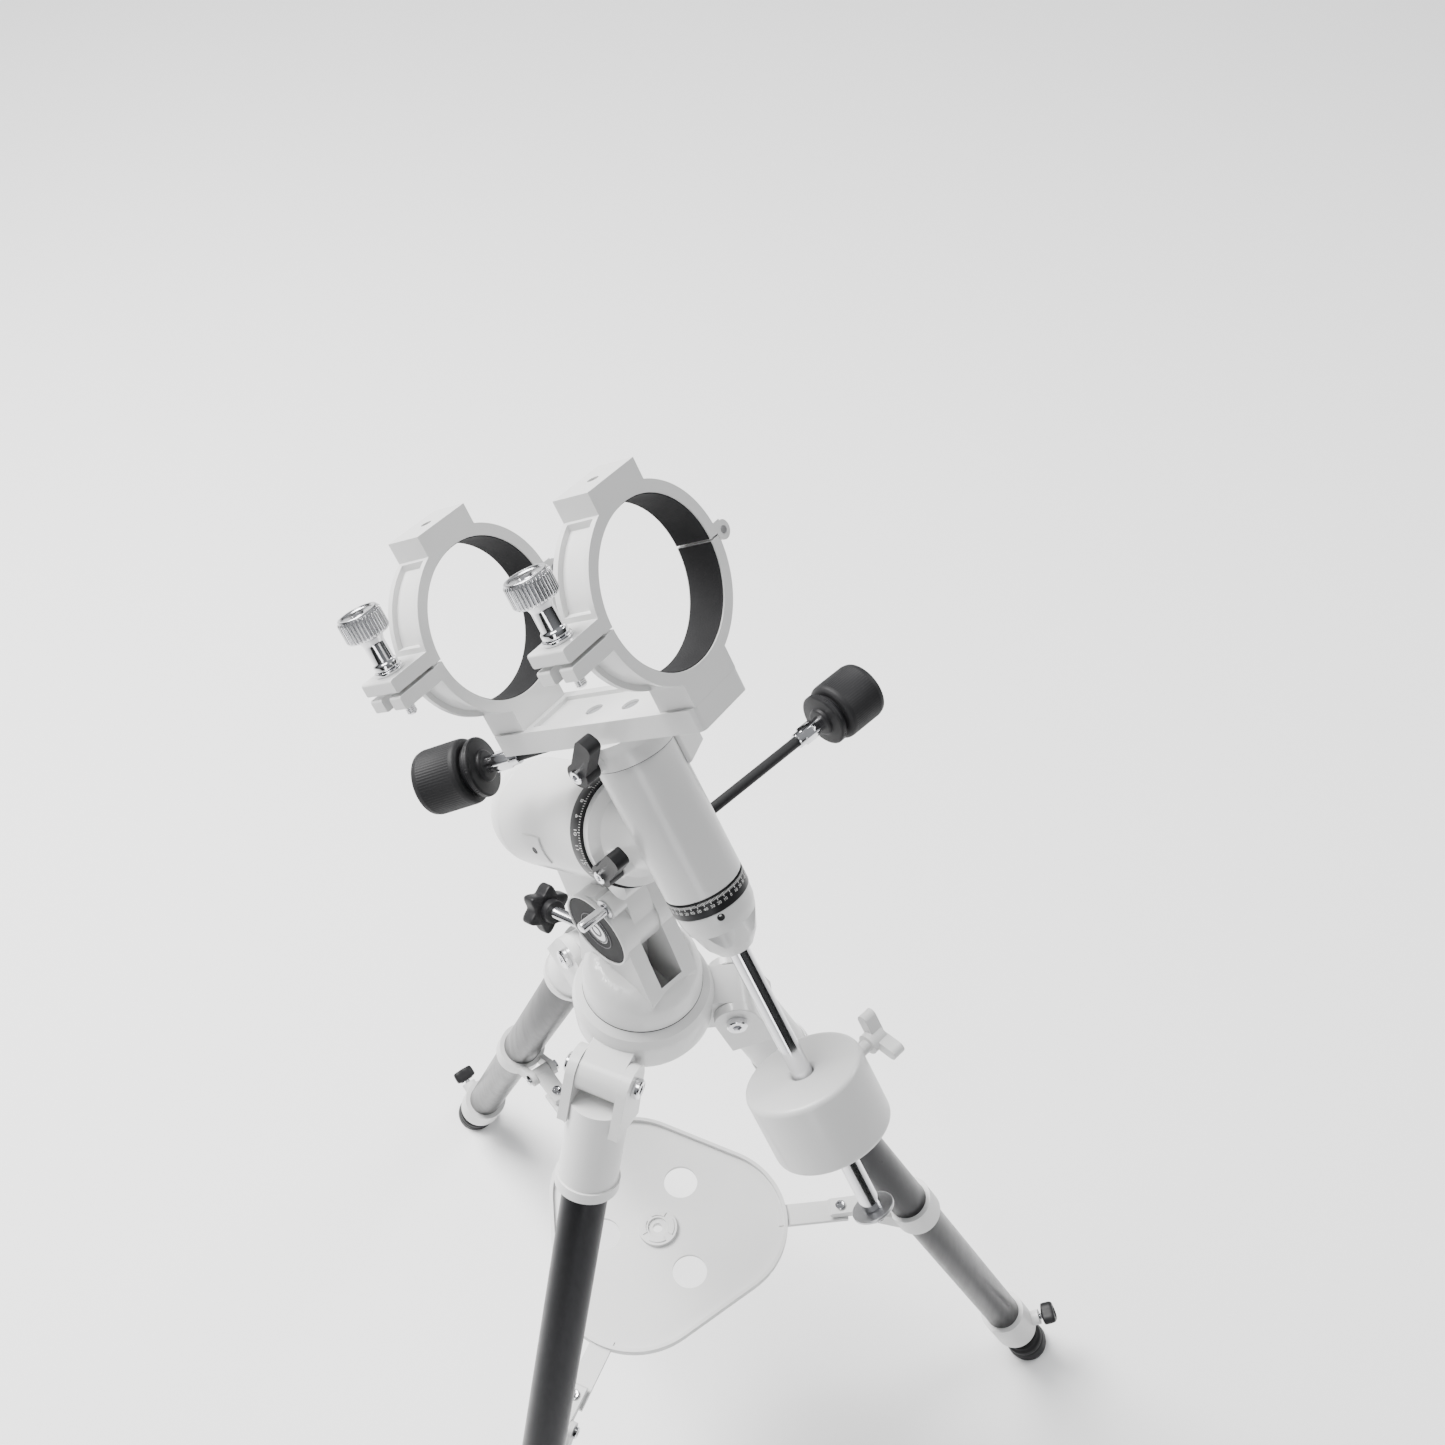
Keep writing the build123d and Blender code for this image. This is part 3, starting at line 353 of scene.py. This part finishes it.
def thread(r, z0, z1, pitch, depth):
    """Profile points of a threaded length, as close rings."""
    pts = []
    z = z0
    while z < z1 - pitch * 0.5:
        pts += [(r - depth, z), (r, z + pitch * 0.5)]
        z += pitch
    return pts + [(r - depth, z1)]


def socket_screw(name, m, body, mat, r, h, socket=0.5, soft=0.5, shank=0.0, length=0.0):
    """Screw head with a hexagon socket; z=0 is under the head."""
    depth = h * 0.55
    change = hexagon(h - depth - 0.01, h - 0.25)
    pts = [(0, h - depth), (r * socket, h - depth), (r * socket, h - 0.3), (r * socket + 0.3, h)]
    pts += [(r - soft, h), (r, h - soft), (r, soft * 0.3), (r - soft * 0.3, 0)]
    if shank:
        pts += [(shank, 0), (shank, -length), (0, -length)]
    else:
        pts += [(0, 0)]

    def mod(rr, z, th):
        return change(rr, z, th) if rr <= r * socket + 0.01 else rr
    return lathe(name, pts, m, body, mat, segs=72, mod=mod)


# ------------------------------------------------------------------ digits and marks
TEXT_CACHE = {}


def glyphs(text):
    if text not in TEXT_CACHE:
        curve = bpy.data.curves.new("glyph", "FONT")
        curve.body = text
        curve.size = 1.0
        curve.align_x = "CENTER"
        curve.resolution_u = 3
        obj = bpy.data.objects.new("glyph", curve)
        bpy.context.scene.collection.objects.link(obj)
        bpy.context.view_layer.update()
        mesh = obj.evaluated_get(bpy.context.evaluated_depsgraph_get()).to_mesh()
        TEXT_CACHE[text] = ([v.co.copy() for v in mesh.vertices],
                            [tuple(p.vertices) for p in mesh.polygons])
        bpy.data.objects.remove(obj)
    return TEXT_CACHE[text]


def scale_marks(name, m, body, r, z_edge, inward, count, long_every, short, tall, labels, size,
                flip=1.0):
    """Graduations and numbers wrapped on a cylinder of radius r, ticks starting at z_edge."""
    verts, faces = [], []

    def wrap(x, z, lift=0.06):
        th = x / r
        return ((r + lift) * math.cos(th), (r + lift) * math.sin(th), z)

    for i in range(count):
        x0 = TAU * r * i / count
        length = tall if i % long_every == 0 else short
        w = 0.16 if i % long_every else 0.22
        base = len(verts)
        za, zb = z_edge, z_edge + inward * length
        verts += [wrap(x0 - w, za), wrap(x0 + w, za), wrap(x0 + w, zb), wrap(x0 - w, zb)]
        faces.append((base, base + 1, base + 2, base + 3))
    for i, label in enumerate(labels):
        x0 = TAU * r * i / len(labels)
        gv, gf = glyphs(label)
        base = len(verts)
        start = z_edge + inward * (tall + 0.7)
        for v in gv:
            up = v.y * size
            zz = start + inward * (size * 0.72 - up) if flip * inward > 0 else start + inward * up
            sx = flip * v.x * size
            verts.append(wrap(x0 + sx, zz))
        faces += [tuple(base + k for k in f) for f in gf]
    return build(name, verts, faces, m, body, INK)


# ------------------------------------------------------------------ castings
for node, width in (("fork", 1.6), ("tripod_hub", 1.2), ("ra_housing", 1.2), ("dec_housing", 1.0),
                    ("dec_head", 1.6), ("saddle_plate", 1.2), ("ra_end_cap", 0.8),
                    ("shaft_cap", 1.0), ("ring_lower_north", 1.0), ("ring_lower_south", 1.0),
                    ("ring_upper_north", 1.0), ("ring_upper_south", 1.0),
                    ("counterweight_knob", 1.4)):
    refined(node, WHITE, width)
for i in (1, 2, 3):
    refined(f"leg_top_{i}", WHITE, 1.4)
    refined(f"spreader_collar_{i}", PLASTIC, 0.8)
    refined(f"spreader_link_{i}", PLASTIC, 0.8)
    refined(f"leg_clamp_{i}", PLASTIC, 1.0)
refined("accessory_tray", PLASTIC, 0.9)
refined("ra_clutch_lever", BLACK, 1.2)
refined("dec_clutch_lever", BLACK, 1.2)
refined("cradle_bolts", CHROME, 0.5)
refined("ra_worm_wheel", BRASS, 0.1, 1)
refined("dec_worm_wheel", BRASS, 0.1, 1)
for node, mat in (("ra_shaft", STEEL), ("dec_shaft", STEEL), ("ra_worm", STEEL),
                  ("dec_worm", STEEL), ("ring_hinge_pins", STEEL), ("latitude_pivot", STEEL)):
    NODES[node].data.materials.clear()
    NODES[node].data.materials.append(mat)

# ------------------------------------------------------------------ counterweight
DEC = place(JOINTS["declination"]["pos_m"], JOINTS["declination"]["axis"],
            JOINTS["right_ascension"]["axis"])
lathe("counterweight_iron", rounded([(6.6, -221), (38, -221), (38, -171), (6.6, -171), (6.6, -221)],
                                    4.5, 8),
      DEC, "counterweight", WEIGHT, segs=160, stands_for=["counterweight"])
lathe("counterweight_bar", [(0, -280), (5.6, -280), (6.35, -279.2), (6.35, -57.9), (0, -57.9)],
      DEC, "cradle", CHROME, stands_for=["counterweight_shaft"])
lathe("safety_washer", rounded([(0, -282.3), (13.7, -282.3), (13.7, -280.1), (0, -280.1)], 0.6, 3),
      DEC, "safety_stop", STEEL, stands_for=["safety_stop"])
lathe("safety_screw", [(0, -289), (5.6, -289), (6.5, -288.2), (6.5, -283), (6.0, -282.3), (0, -282.3)],
      DEC, "safety_stop", CHROME, mod=knurl(-289, -282.8, 28, 0.35))
knob = joint_place("counterweight_knob_turn", JOINTS["declination"]["axis"], 50)
lathe("weight_screw", [(0, 6.6), (3.2, 6.6)] + thread(4.0, 7.4, 47, 1.25, 0.45)
      + [(4.0, 47.5), (4.0, 50), (0, 50)],
      knob, "counterweight_knob", CHROME, segs=48)

# ------------------------------------------------------------------ slow-motion controls
def control(prefix, joint, start, grip, body):
    m = joint_place(joint)
    lathe(prefix + "_rod", rounded([(0, start + 6), (3.6, start + 6), (3.6, grip - 12), (0, grip - 12)],
                                   0.2, 2),
          m, body, RUBBER, segs=48, stands_for=[prefix + "_control"])
    lathe(prefix + "_root_ferrule",
          [(3.56, start - 1), (5.4, start - 1), (5.9, start - 0.4), (5.9, start + 7.5),
           (5.2, start + 8.2), (5.2, start + 10.6), (4.6, start + 11.4), (3.6, start + 11.4)],
          m, body, KNURL, segs=64)
    socket_screw(prefix + "_root_grub", shift(m @ Matrix.Rotation(math.pi / 2, 4, "Y"),
                                              x=-(start + 3.2), z=5.0), body, BLACK, 1.5, 1.2, 0.55, 0.2)
    lathe(prefix + "_knob_ferrule",
          [(3.6, grip - 31), (4.7, grip - 31), (5.2, grip - 30.3), (5.2, grip - 26), (6.3, grip - 25.2),
           (6.3, grip - 14.8), (5.2, grip - 14), (5.2, grip - 8), (0, grip - 8)],
          m, body, CHROME, segs=72, mod=hexagon(grip - 25.3, grip - 14.7))
    flange = [(0, grip - 9), (8.5, grip - 9), (9.5, grip - 8), (9.5, grip - 6.6), (17.0, grip - 6.2),
              (18.2, grip - 5.2), (18.2, grip - 2.8), (17.2, grip - 1.8), (14.8, grip - 1.2),
              (14.8, grip + 1.8), (0, grip + 1.8)]
    lathe(prefix + "_knob_flange", rounded(flange, 0.7, 3), m, body, BLACK, segs=128,
          mod=knurl(grip - 5.3, grip - 2.7, 60, 0.35))
    barrel = [(0, grip + 1.6), (17.5, grip + 1.6), (19.6, grip + 3.4), (20.0, grip + 5.5),
              (20.0, grip + 29.5), (19.2, grip + 32.6), (17.2, grip + 34), (13.6, grip + 34),
              (12.9, grip + 33.2), (12.4, grip + 32.4), (0, grip + 32.0)]
    lathe(prefix + "_knob_grip", rounded(barrel, 0.9, 4), m, body, RUBBER, segs=288,
          mod=knurl(grip + 6, grip + 29, 72, 0.22))


control("ra", "ra_worm_turn", 34, 172, "ra_worm")
control("dec", "dec_worm_turn", 32, 112, "dec_worm")

# ------------------------------------------------------------------ setting circles
RA = place(JOINTS["right_ascension"]["pos_m"], JOINTS["right_ascension"]["axis"], (0, 1, 0))
ring_piece("ra_dial", 30.05, 35.7, -12.5, -0.2, RA, "ra_circle", CIRCLE, 0.5, stands_for=["ra_circle"])
scale_marks("ra_dial_marks", RA, "ra_circle", 35.7, -0.9, -1.0, 144, 6, 1.7, 2.9,
            [str(h) for h in range(24)], 4.6, flip=1.0)
ring_piece("dec_dial", 16.05, 24.0, -41.5, -31.3, DEC, "dec_circle", CIRCLE, 0.4,
           stands_for=["dec_circle"])
dial = [0, 10, 20, 30, 40, 50, 60, 70, 80, 90, 80, 70, 60, 50, 40, 30, 20, 10] * 2
scale_marks("dec_dial_marks", DEC, "dec_circle", 24.0, -31.9, -1.0, 180, 5, 1.6, 2.7,
            [str(d) for d in dial], 2.7, flip=1.0)
for tag, m, body, r, z in (("ra", RA, "polar_body", 34.5, -13.2), ("dec", DEC, "dec_body", 24.0, -30.2)):
    pointer = [(r - 0.4, -0.5, z - 2.6), (r + 0.25, -0.35, z - 2.4), (r + 0.25, 0.35, z - 2.4),
               (r - 0.4, 0.5, z - 2.6), (r - 0.4, -0.2, z), (r + 0.25, -0.15, z), (r + 0.25, 0.15, z),
               (r - 0.4, 0.2, z)]
    turn = Matrix.Rotation(math.radians(205 if tag == "ra" else -50), 4, "Z")
    build(tag + "_index", pointer, [(0, 1, 2, 3), (4, 7, 6, 5), (0, 4, 5, 1), (1, 5, 6, 2),
                                    (2, 6, 7, 3), (3, 7, 4, 0)], m @ turn, body, BLACK)

# ------------------------------------------------------------------ badges and latitude fittings
for side, tag in ((1, "east"), (-1, "west")):
    m = place(JOINTS["latitude"]["pos_m"], (0, -side, 0), (1, 0, 0))
    disc = [(0, 22.4), (24.4, 22.4), (25.3, 22.2), (25.5, 21.4), (25.5, 20.05), (12, 20.05), (12, 21.2),
            (0, 21.2)]
    if side > 0:
        lathe("badge_face_" + tag, rounded(disc, 0.35, 3), m, "fork", BADGE, segs=160,
              stands_for=["latitude_badges"])
    else:
        lathe("badge_face_" + tag, rounded(disc, 0.35, 3), m, "fork", BADGE, segs=160)
    ring_piece("badge_rim_" + tag, 25.5, 26.9, 20.05, 23.0, m, "fork", WHITE, 0.4)
    for k, (a, b) in enumerate(((13.2, 13.9), (8.4, 9.6), (3.4, 4.8))):
        ring_piece(f"badge_ring_{tag}_{k}", a, b, 22.3, 22.75, m, "fork", GREY, 0.18)
lock = joint_place("latitude_lock_turn", (1, 0, 0), 30)
lathe("lock_rod", [(0, 8.9), (2.6, 8.9), (3.0, 9.3), (3.0, 22.2), (3.6, 22.2), (3.6, 39.4),
                   (3.3, 40.4), (2.4, 41.0), (0, 41.2)], lock, "latitude_lock", CHROME, segs=64,
      stands_for=["latitude_lock"])
ring_piece("lock_washer", 3.65, 6.6, 20.1, 21.2, lock, "latitude_lock", STEEL, 0.2)


def star_knob(name, m, body, r, z0, z1, count, mat):
    profile = [(0, z0), (r * 0.55, z0), (r * 0.97, z0 + 1.2), (r, z0 + 3.0), (r, z1 - 3.4),
               (r * 0.96, z1 - 1.2), (r * 0.86, z1), (r * 0.42, z1 + 0.3), (r * 0.36, z1 - 0.7),
               (0, z1 - 0.9)]
    change = lobes(count, 0.30, 0.8)

    def mod(rr, z, th):
        return rr if rr < r * 0.6 else change(rr, z, th)
    return lathe(name, rounded(profile, 1.3, 4), m, body, mat, segs=192, mod=mod, smooth=50)


screw = joint_place("latitude_screw_turn", (0, 1, 0), 60)
lathe("altitude_screw_rod", [(0, 0), (2.8, 0), (3.5, 0.8)] + thread(4.0, 1.2, 69, 1.25, 0.4)
      + [(4, 69.5), (4, 70), (0, 70)],
      screw, "latitude_screw", CHROME, segs=48, stands_for=["latitude_screw"])
lathe("altitude_knob_hub", rounded([(0, 70), (8, 70), (8.4, 76.5), (0, 76.5)], 0.8, 3), screw,
      "latitude_screw", BLACK)
star_knob("altitude_knob", screw, "latitude_screw", 17.4, 76, 90, 6, BLACK)

az = joint_place("azimuth_lock_turn", (1, 0, 0), -100)
lathe("azimuth_stud", [(0, -96)] + thread(6.0, -95.9, -25.0, 1.75, 0.6) + [(5.2, -24), (0, -24)], az,
      "azimuth_lock", STEEL, segs=48, stands_for=["azimuth_bolt"])
ring_piece("azimuth_washer", 6.0, 14.0, -95.9, -92.2, az, "azimuth_lock", STEEL, 0.4)
star_knob("azimuth_knob", az @ Matrix.Scale(-1, 4, (0, 0, 1)), "azimuth_lock", 20.6, 96.2, 116, 6, BLACK)

# ------------------------------------------------------------------ ring thumb screws
for n in ("north", "south"):
    m = joint_place(f"ring_{n}_screw_turn", JOINTS["ring_north_open"]["axis"], 20)
    body = "ring_screw_" + n
    head = [(0, 31.0), (6.2, 31.0), (10.9, 31.2), (11.7, 31.8), (12.5, 32.9), (12.5, 43.3), (11.6, 44.6),
            (11.2, 45.4), (9.6, 45.4), (9.2, 44.5), (4.4, 44.2), (3.9, 42.6), (0, 42.4)]

    def grip(r, z, th):
        if r > 12.2:
            return r - 0.95 * (1 - abs(math.sin(18 * th))) ** 1.6
        return r
    lathe(f"ring_knob_{n}", rounded(head, 0.25, 2), m, body, KNURL, segs=288, mod=grip,
          stands_for=["ring_screw_" + n])
    lathe(f"ring_stem_{n}", rounded([(0, 11.4), (6.2, 11.4), (7.0, 12.2), (7.0, 15), (6.0, 16), (6.0, 27),
                                     (6.9, 29.5), (7.4, 31.1), (0, 31.1)], 0.5, 3), m, body, CHROME, segs=96)
    ring_piece(f"ring_washer_{n}", 3.0, 8.0, 9.15, 11.4, m, body, CHROME, 0.4)
    lathe(f"ring_thread_{n}", [(0, -17), (2.2, -17)] + thread(3.0, -16.4, 9, 1.0, 0.35)
          + [(3, 9.4), (3, 11.5), (0, 11.5)],
          m, body, CHROME, segs=48)

# ------------------------------------------------------------------ legs
for i in (1, 2, 3):
    leg = place(JOINTS[f"leg_{i}_fold"]["pos_m"], JOINTS[f"leg_{i}_extend"]["axis"],
                JOINTS[f"leg_{i}_fold"]["axis"])
    body = f"leg_{i}"
    lathe(f"leg_tube_{i}", rounded([(14.5, 27), (15.9, 27), (15.9, 690), (14.5, 690), (14.5, 27)], 0.2, 2),
          leg, body, TUBE, segs=96, stands_for=[f"upper_leg_{i}"])
    lathe(f"inner_tube_{i}", [(11.3, 312), (11.3, 300), (14.4, 300), (14.4, 312), (12.7, 312),
                              (12.7, 738), (0, 738)],
          leg, f"lower_leg_{i}", CHROME, segs=96, stands_for=[f"lower_leg_{i}"])
    foot = lathe(f"rubber_foot_{i}",
                 rounded([(12.7, 733), (14.6, 733), (15.4, 735.5), (17.6, 737), (18.2, 741), (17.4, 743),
                          (18.4, 745), (19.0, 754), (17.6, 760), (16, 762), (0, 762)], 0.8, 3),
                 leg, f"lower_leg_{i}", RUBBER, segs=96)
    bm = bmesh.new()
    bm.from_mesh(foot.data)
    cut = bmesh.ops.bisect_plane(bm, geom=bm.verts[:] + bm.edges[:] + bm.faces[:], plane_co=(0, 0, 0),
                                 plane_no=(0, 0, -1), clear_outer=True)
    rim = [g for g in cut["geom_cut"] if isinstance(g, bmesh.types.BMEdge)]
    if rim:
        bmesh.ops.contextual_create(bm, geom=rim)
    bmesh.ops.recalc_face_normals(bm, faces=bm.faces)
    bm.to_mesh(foot.data)
    bm.free()
    m = joint_place(f"leg_{i}_lock_turn", JOINTS[f"leg_{i}_extend"]["axis"], 30)
    lathe(f"leg_lock_stud_{i}", [(0, 12.8), (2.4, 12.8)] + thread(3.0, 13.2, 28, 1.0, 0.35)
          + [(3, 28.5), (3, 31), (0, 31)],
          m, f"leg_lock_{i}", CHROME, segs=48, stands_for=[f"leg_lock_screw_{i}"])
    star_knob(f"leg_lock_knob_{i}", m, f"leg_lock_{i}", 11.4, 30, 42, 3, BLACK)
    pivot = place(JOINTS[f"leg_{i}_fold"]["pos_m"], JOINTS[f"leg_{i}_fold"]["axis"],
                  JOINTS[f"leg_{i}_extend"]["axis"])
    flipped = pivot @ Matrix.Rotation(math.pi, 4, "X")
    lathe(f"pivot_pin_{i}", [(0, -21.9), (4, -21.9), (4, 21.9), (0, 21.9)], pivot, "tripod_head", STEEL,
          segs=48, stands_for=["leg_pivot_bolts"] if i == 1 else ())
    socket_screw(f"pivot_head_a_{i}", shift(pivot, z=22.1), "tripod_head", CHROME, 7, 4.6, 0.46, 0.8)
    socket_screw(f"pivot_head_b_{i}", shift(flipped, z=22.1), "tripod_head", CHROME, 7, 4.6, 0.46, 0.8)
    pin = place(JOINTS[f"spreader_{i}_fold"]["pos_m"], JOINTS[f"spreader_{i}_fold"]["axis"],
                JOINTS[f"leg_{i}_extend"]["axis"])
    for k, side in enumerate((pin, pin @ Matrix.Rotation(math.pi, 4, "X"))):
        socket_screw(f"link_screw_{i}_{k}", shift(side, z=12.4), body, CHROME, 4.6, 2.6, 0.5, 0.5)
    out = Vector(JOINTS[f"leg_{i}_fold"]["pos_m"]).xy.normalized().to_3d()
    peg = place(Vector(JOINTS[f"spreader_{i}_fold"]["pos_m"]) - out * 0.024, (0, 0, 1), out)
    socket_screw(f"tray_screw_{i}", shift(peg, z=3.3), f"spreader_link_{i}", CHROME, 4.2, 2.2, 0.5, 0.5)

# ------------------------------------------------------------------ tray boss
lo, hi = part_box("accessory_tray")
tray = place((0, 0, hi.z), (0, 0, 1), (1, 0, 0))


def arc_pad(name, m, body, mat, r0, r1, a0, a1, z0, z1, steps=20, bevel=0.3):
    verts, faces = [], []
    for k in range(steps + 1):
        th = math.radians(a0 + (a1 - a0) * k / steps)
        for r, z in ((r0, z0), (r1, z0), (r1, z1), (r0, z1)):
            verts.append((r * math.cos(th), r * math.sin(th), z))
    for k in range(steps):
        a, b = 4 * k, 4 * k + 4
        for e in range(4):
            f = (e + 1) % 4
            faces.append((a + e, b + e, b + f, a + f))
    faces += [(0, 1, 2, 3), (4 * steps + 3, 4 * steps + 2, 4 * steps + 1, 4 * steps)]
    return build(name, verts, faces, m, body, mat, bevel=bevel, segments=2)


for k in range(4):
    arc_pad(f"tray_arc_{k}", tray, "tray", PLASTIC, 9.6, 13.8, 90 * k + 14, 90 * k + 76, -2.1, 0.9)

# ------------------------------------------------------------------ lever screws and small fittings
for tag, body in (("ra", "ra_clutch"), ("dec", "dec_clutch")):
    m = joint_place(tag + "_clutch_turn", None, 15)
    socket_screw(tag + "_lever_screw", shift(m, z=19.6), body, CHROME, 4.2, 2.4, 0.5, 0.5)



def radial_spot(m, angle, z, r):
    """Local frame on a cylinder's side: z outward at this angle and height."""
    turned = m @ Matrix.Rotation(math.radians(angle), 4, "Z") @ Matrix.Rotation(math.pi / 2, 4, "Y")
    return shift(turned, x=-z, z=r)


def dark_hole(name, m, body, r):
    """Black disc for a small hole, on the surface it is drilled into: the grub screw in it plus painted shade
    of the recess, which has no modelled depth.
    """
    lathe(name, [(0, 0.12), (r - 0.5, 0.14), (r, 0.3), (r + 0.25, 0.22), (r + 0.3, -1.2), (0, -1.2)], m, body,
          BLACK, segs=48)


# painted shade: these black discs stand for the grub screws and the shade inside their holes
dark_hole("cap_grub_hole_shade", radial_spot(DEC, 333, -45, 23.2), "cradle", 2.0)
arc_pad("polar_pad", RA, "polar_body", WHITE, 33.9, 35.5, 164, 196, -73, -53, steps=24, bevel=0.6)
dark_hole("polar_pad_grub_hole_shade", radial_spot(RA, 180, -63, 35.5), "polar_body", 2.1)

# dark joints between castings, and the felt that lines the rings
base = place(JOINTS["azimuth"]["pos_m"], (0, 0, 1), (1, 0, 0))
ring_piece("azimuth_gasket", 34.2, 39.7, 0.03, 0.66, base, "tripod_head", FELT, 0.1)
ring_piece("dec_seam_gasket", 23.0, 25.3, 59.63, 59.97, DEC, "dec_body", FELT, 0.08)
for n in ("north", "south"):
    up = Vector(JOINTS[f"ring_{n}_screw_turn"]["axis"])
    tube_dir = -Vector(JOINTS[f"ring_{n}_open"]["axis"])
    side = up.cross(tube_dir)
    centre = place(Vector(JOINTS[f"ring_{n}_open"]["pos_m"]) - side * 0.058, tube_dir, side)
    for tag, body, start in (("upper", "ring_top_" + n, 1), ("lower", "cradle", 181)):
        arc_pad(f"ring_felt_{tag}_{n}", centre, body, FELT, 45.45, 45.98, start, start + 178, -11.6, 11.6,
                steps=72, bevel=0.12)

# ------------------------------------------------------------------ floor, light, camera
floor_mat = Shader("studio_floor", 0.6)
floor_mat.colour(floor_mat.mix(floor_mat.noise(3, 3), (0.93, 0.93, 0.93), (0.92, 0.92, 0.92)))
floor_mat.bump([(floor_mat.noise(300, 2), 0.03, 0.0002)])
bpy.ops.mesh.primitive_plane_add(size=14, location=(0, 0, -0.0005))
floor = bpy.context.object
floor.name = "floor"
floor.data.materials.append(floor_mat.mat)

world = bpy.data.worlds.new("studio")
bpy.context.scene.world = world
world.use_nodes = True
tree = world.node_tree
sky = tree.nodes["Background"]
sky.inputs["Strength"].default_value = 0.42
split = tree.nodes.new("ShaderNodeSeparateXYZ")
tree.links.new(tree.nodes.new("ShaderNodeTexCoord").outputs["Generated"], split.inputs[0])
grade = tree.nodes.new("ShaderNodeValToRGB")
grade.color_ramp.elements[0].position, grade.color_ramp.elements[0].color = 0.05, (0.03, 0.03, 0.03, 1)
grade.color_ramp.elements[1].position, grade.color_ramp.elements[1].color = 0.75, (0.9, 0.92, 0.95, 1)
tree.links.new(split.outputs["Z"], grade.inputs["Fac"])
tree.links.new(grade.outputs["Color"], sky.inputs["Color"])


def softbox(name, at, target, size, power, tint=(1, 1, 1)):
    light = bpy.data.lights.new(name, "AREA")
    light.shape = "RECTANGLE"
    light.size, light.size_y = size
    light.energy = power
    light.color = tint
    obj = bpy.data.objects.new(name, light)
    bpy.context.scene.collection.objects.link(obj)
    obj.location = at
    obj.rotation_mode = "QUATERNION"
    obj.rotation_quaternion = (Vector(target) - Vector(at)).to_track_quat("-Z", "Y")
    return obj


MID = (0.0, 0.0, 0.8)
softbox("key", (-1.7, -0.3, 2.6), MID, (1.4, 1.4), 185, (1.0, 0.99, 0.98))
softbox("fill", (1.9, -1.6, 1.3), MID, (0.6, 1.6), 15, (0.98, 0.99, 1.0))
softbox("back", (0.6, 2.2, 2.2), MID, (1.2, 0.8), 36)
overhead = bpy.data.lights.new("overhead", "SUN")
overhead.energy = 3.0
overhead.angle = math.radians(35)
top = bpy.data.objects.new("overhead", overhead)
bpy.context.scene.collection.objects.link(top)
top.rotation_euler = (math.radians(12), math.radians(-24), 0)

camera = bpy.data.cameras.new("camera")
camera.sensor_width = 36
camera.lens = 1775.27 * 36 / 1445
camera.dof.use_dof = False
camera.clip_start, camera.clip_end = 0.01, 60
shot = bpy.data.objects.new("camera", camera)
bpy.context.scene.collection.objects.link(shot)
right = Vector((0.71090266, 0.70328882, 0.00149622))
down = Vector((0.53710777, -0.54154666, -0.64671668))
ahead = Vector((-0.45401833, 0.46055624, -0.76272885))
turn = Matrix((right, -down, -ahead)).transposed().to_4x4()
turn.translation = Vector((0.47607, -0.40863, 0.99897 + 0.725))
shot.matrix_world = turn
bpy.context.scene.camera = shot

for n, o in NODES.items():
    if not o.data.materials or o.data.materials[0] is None:
        o.data.materials.clear()
        o.data.materials.append(STEEL)
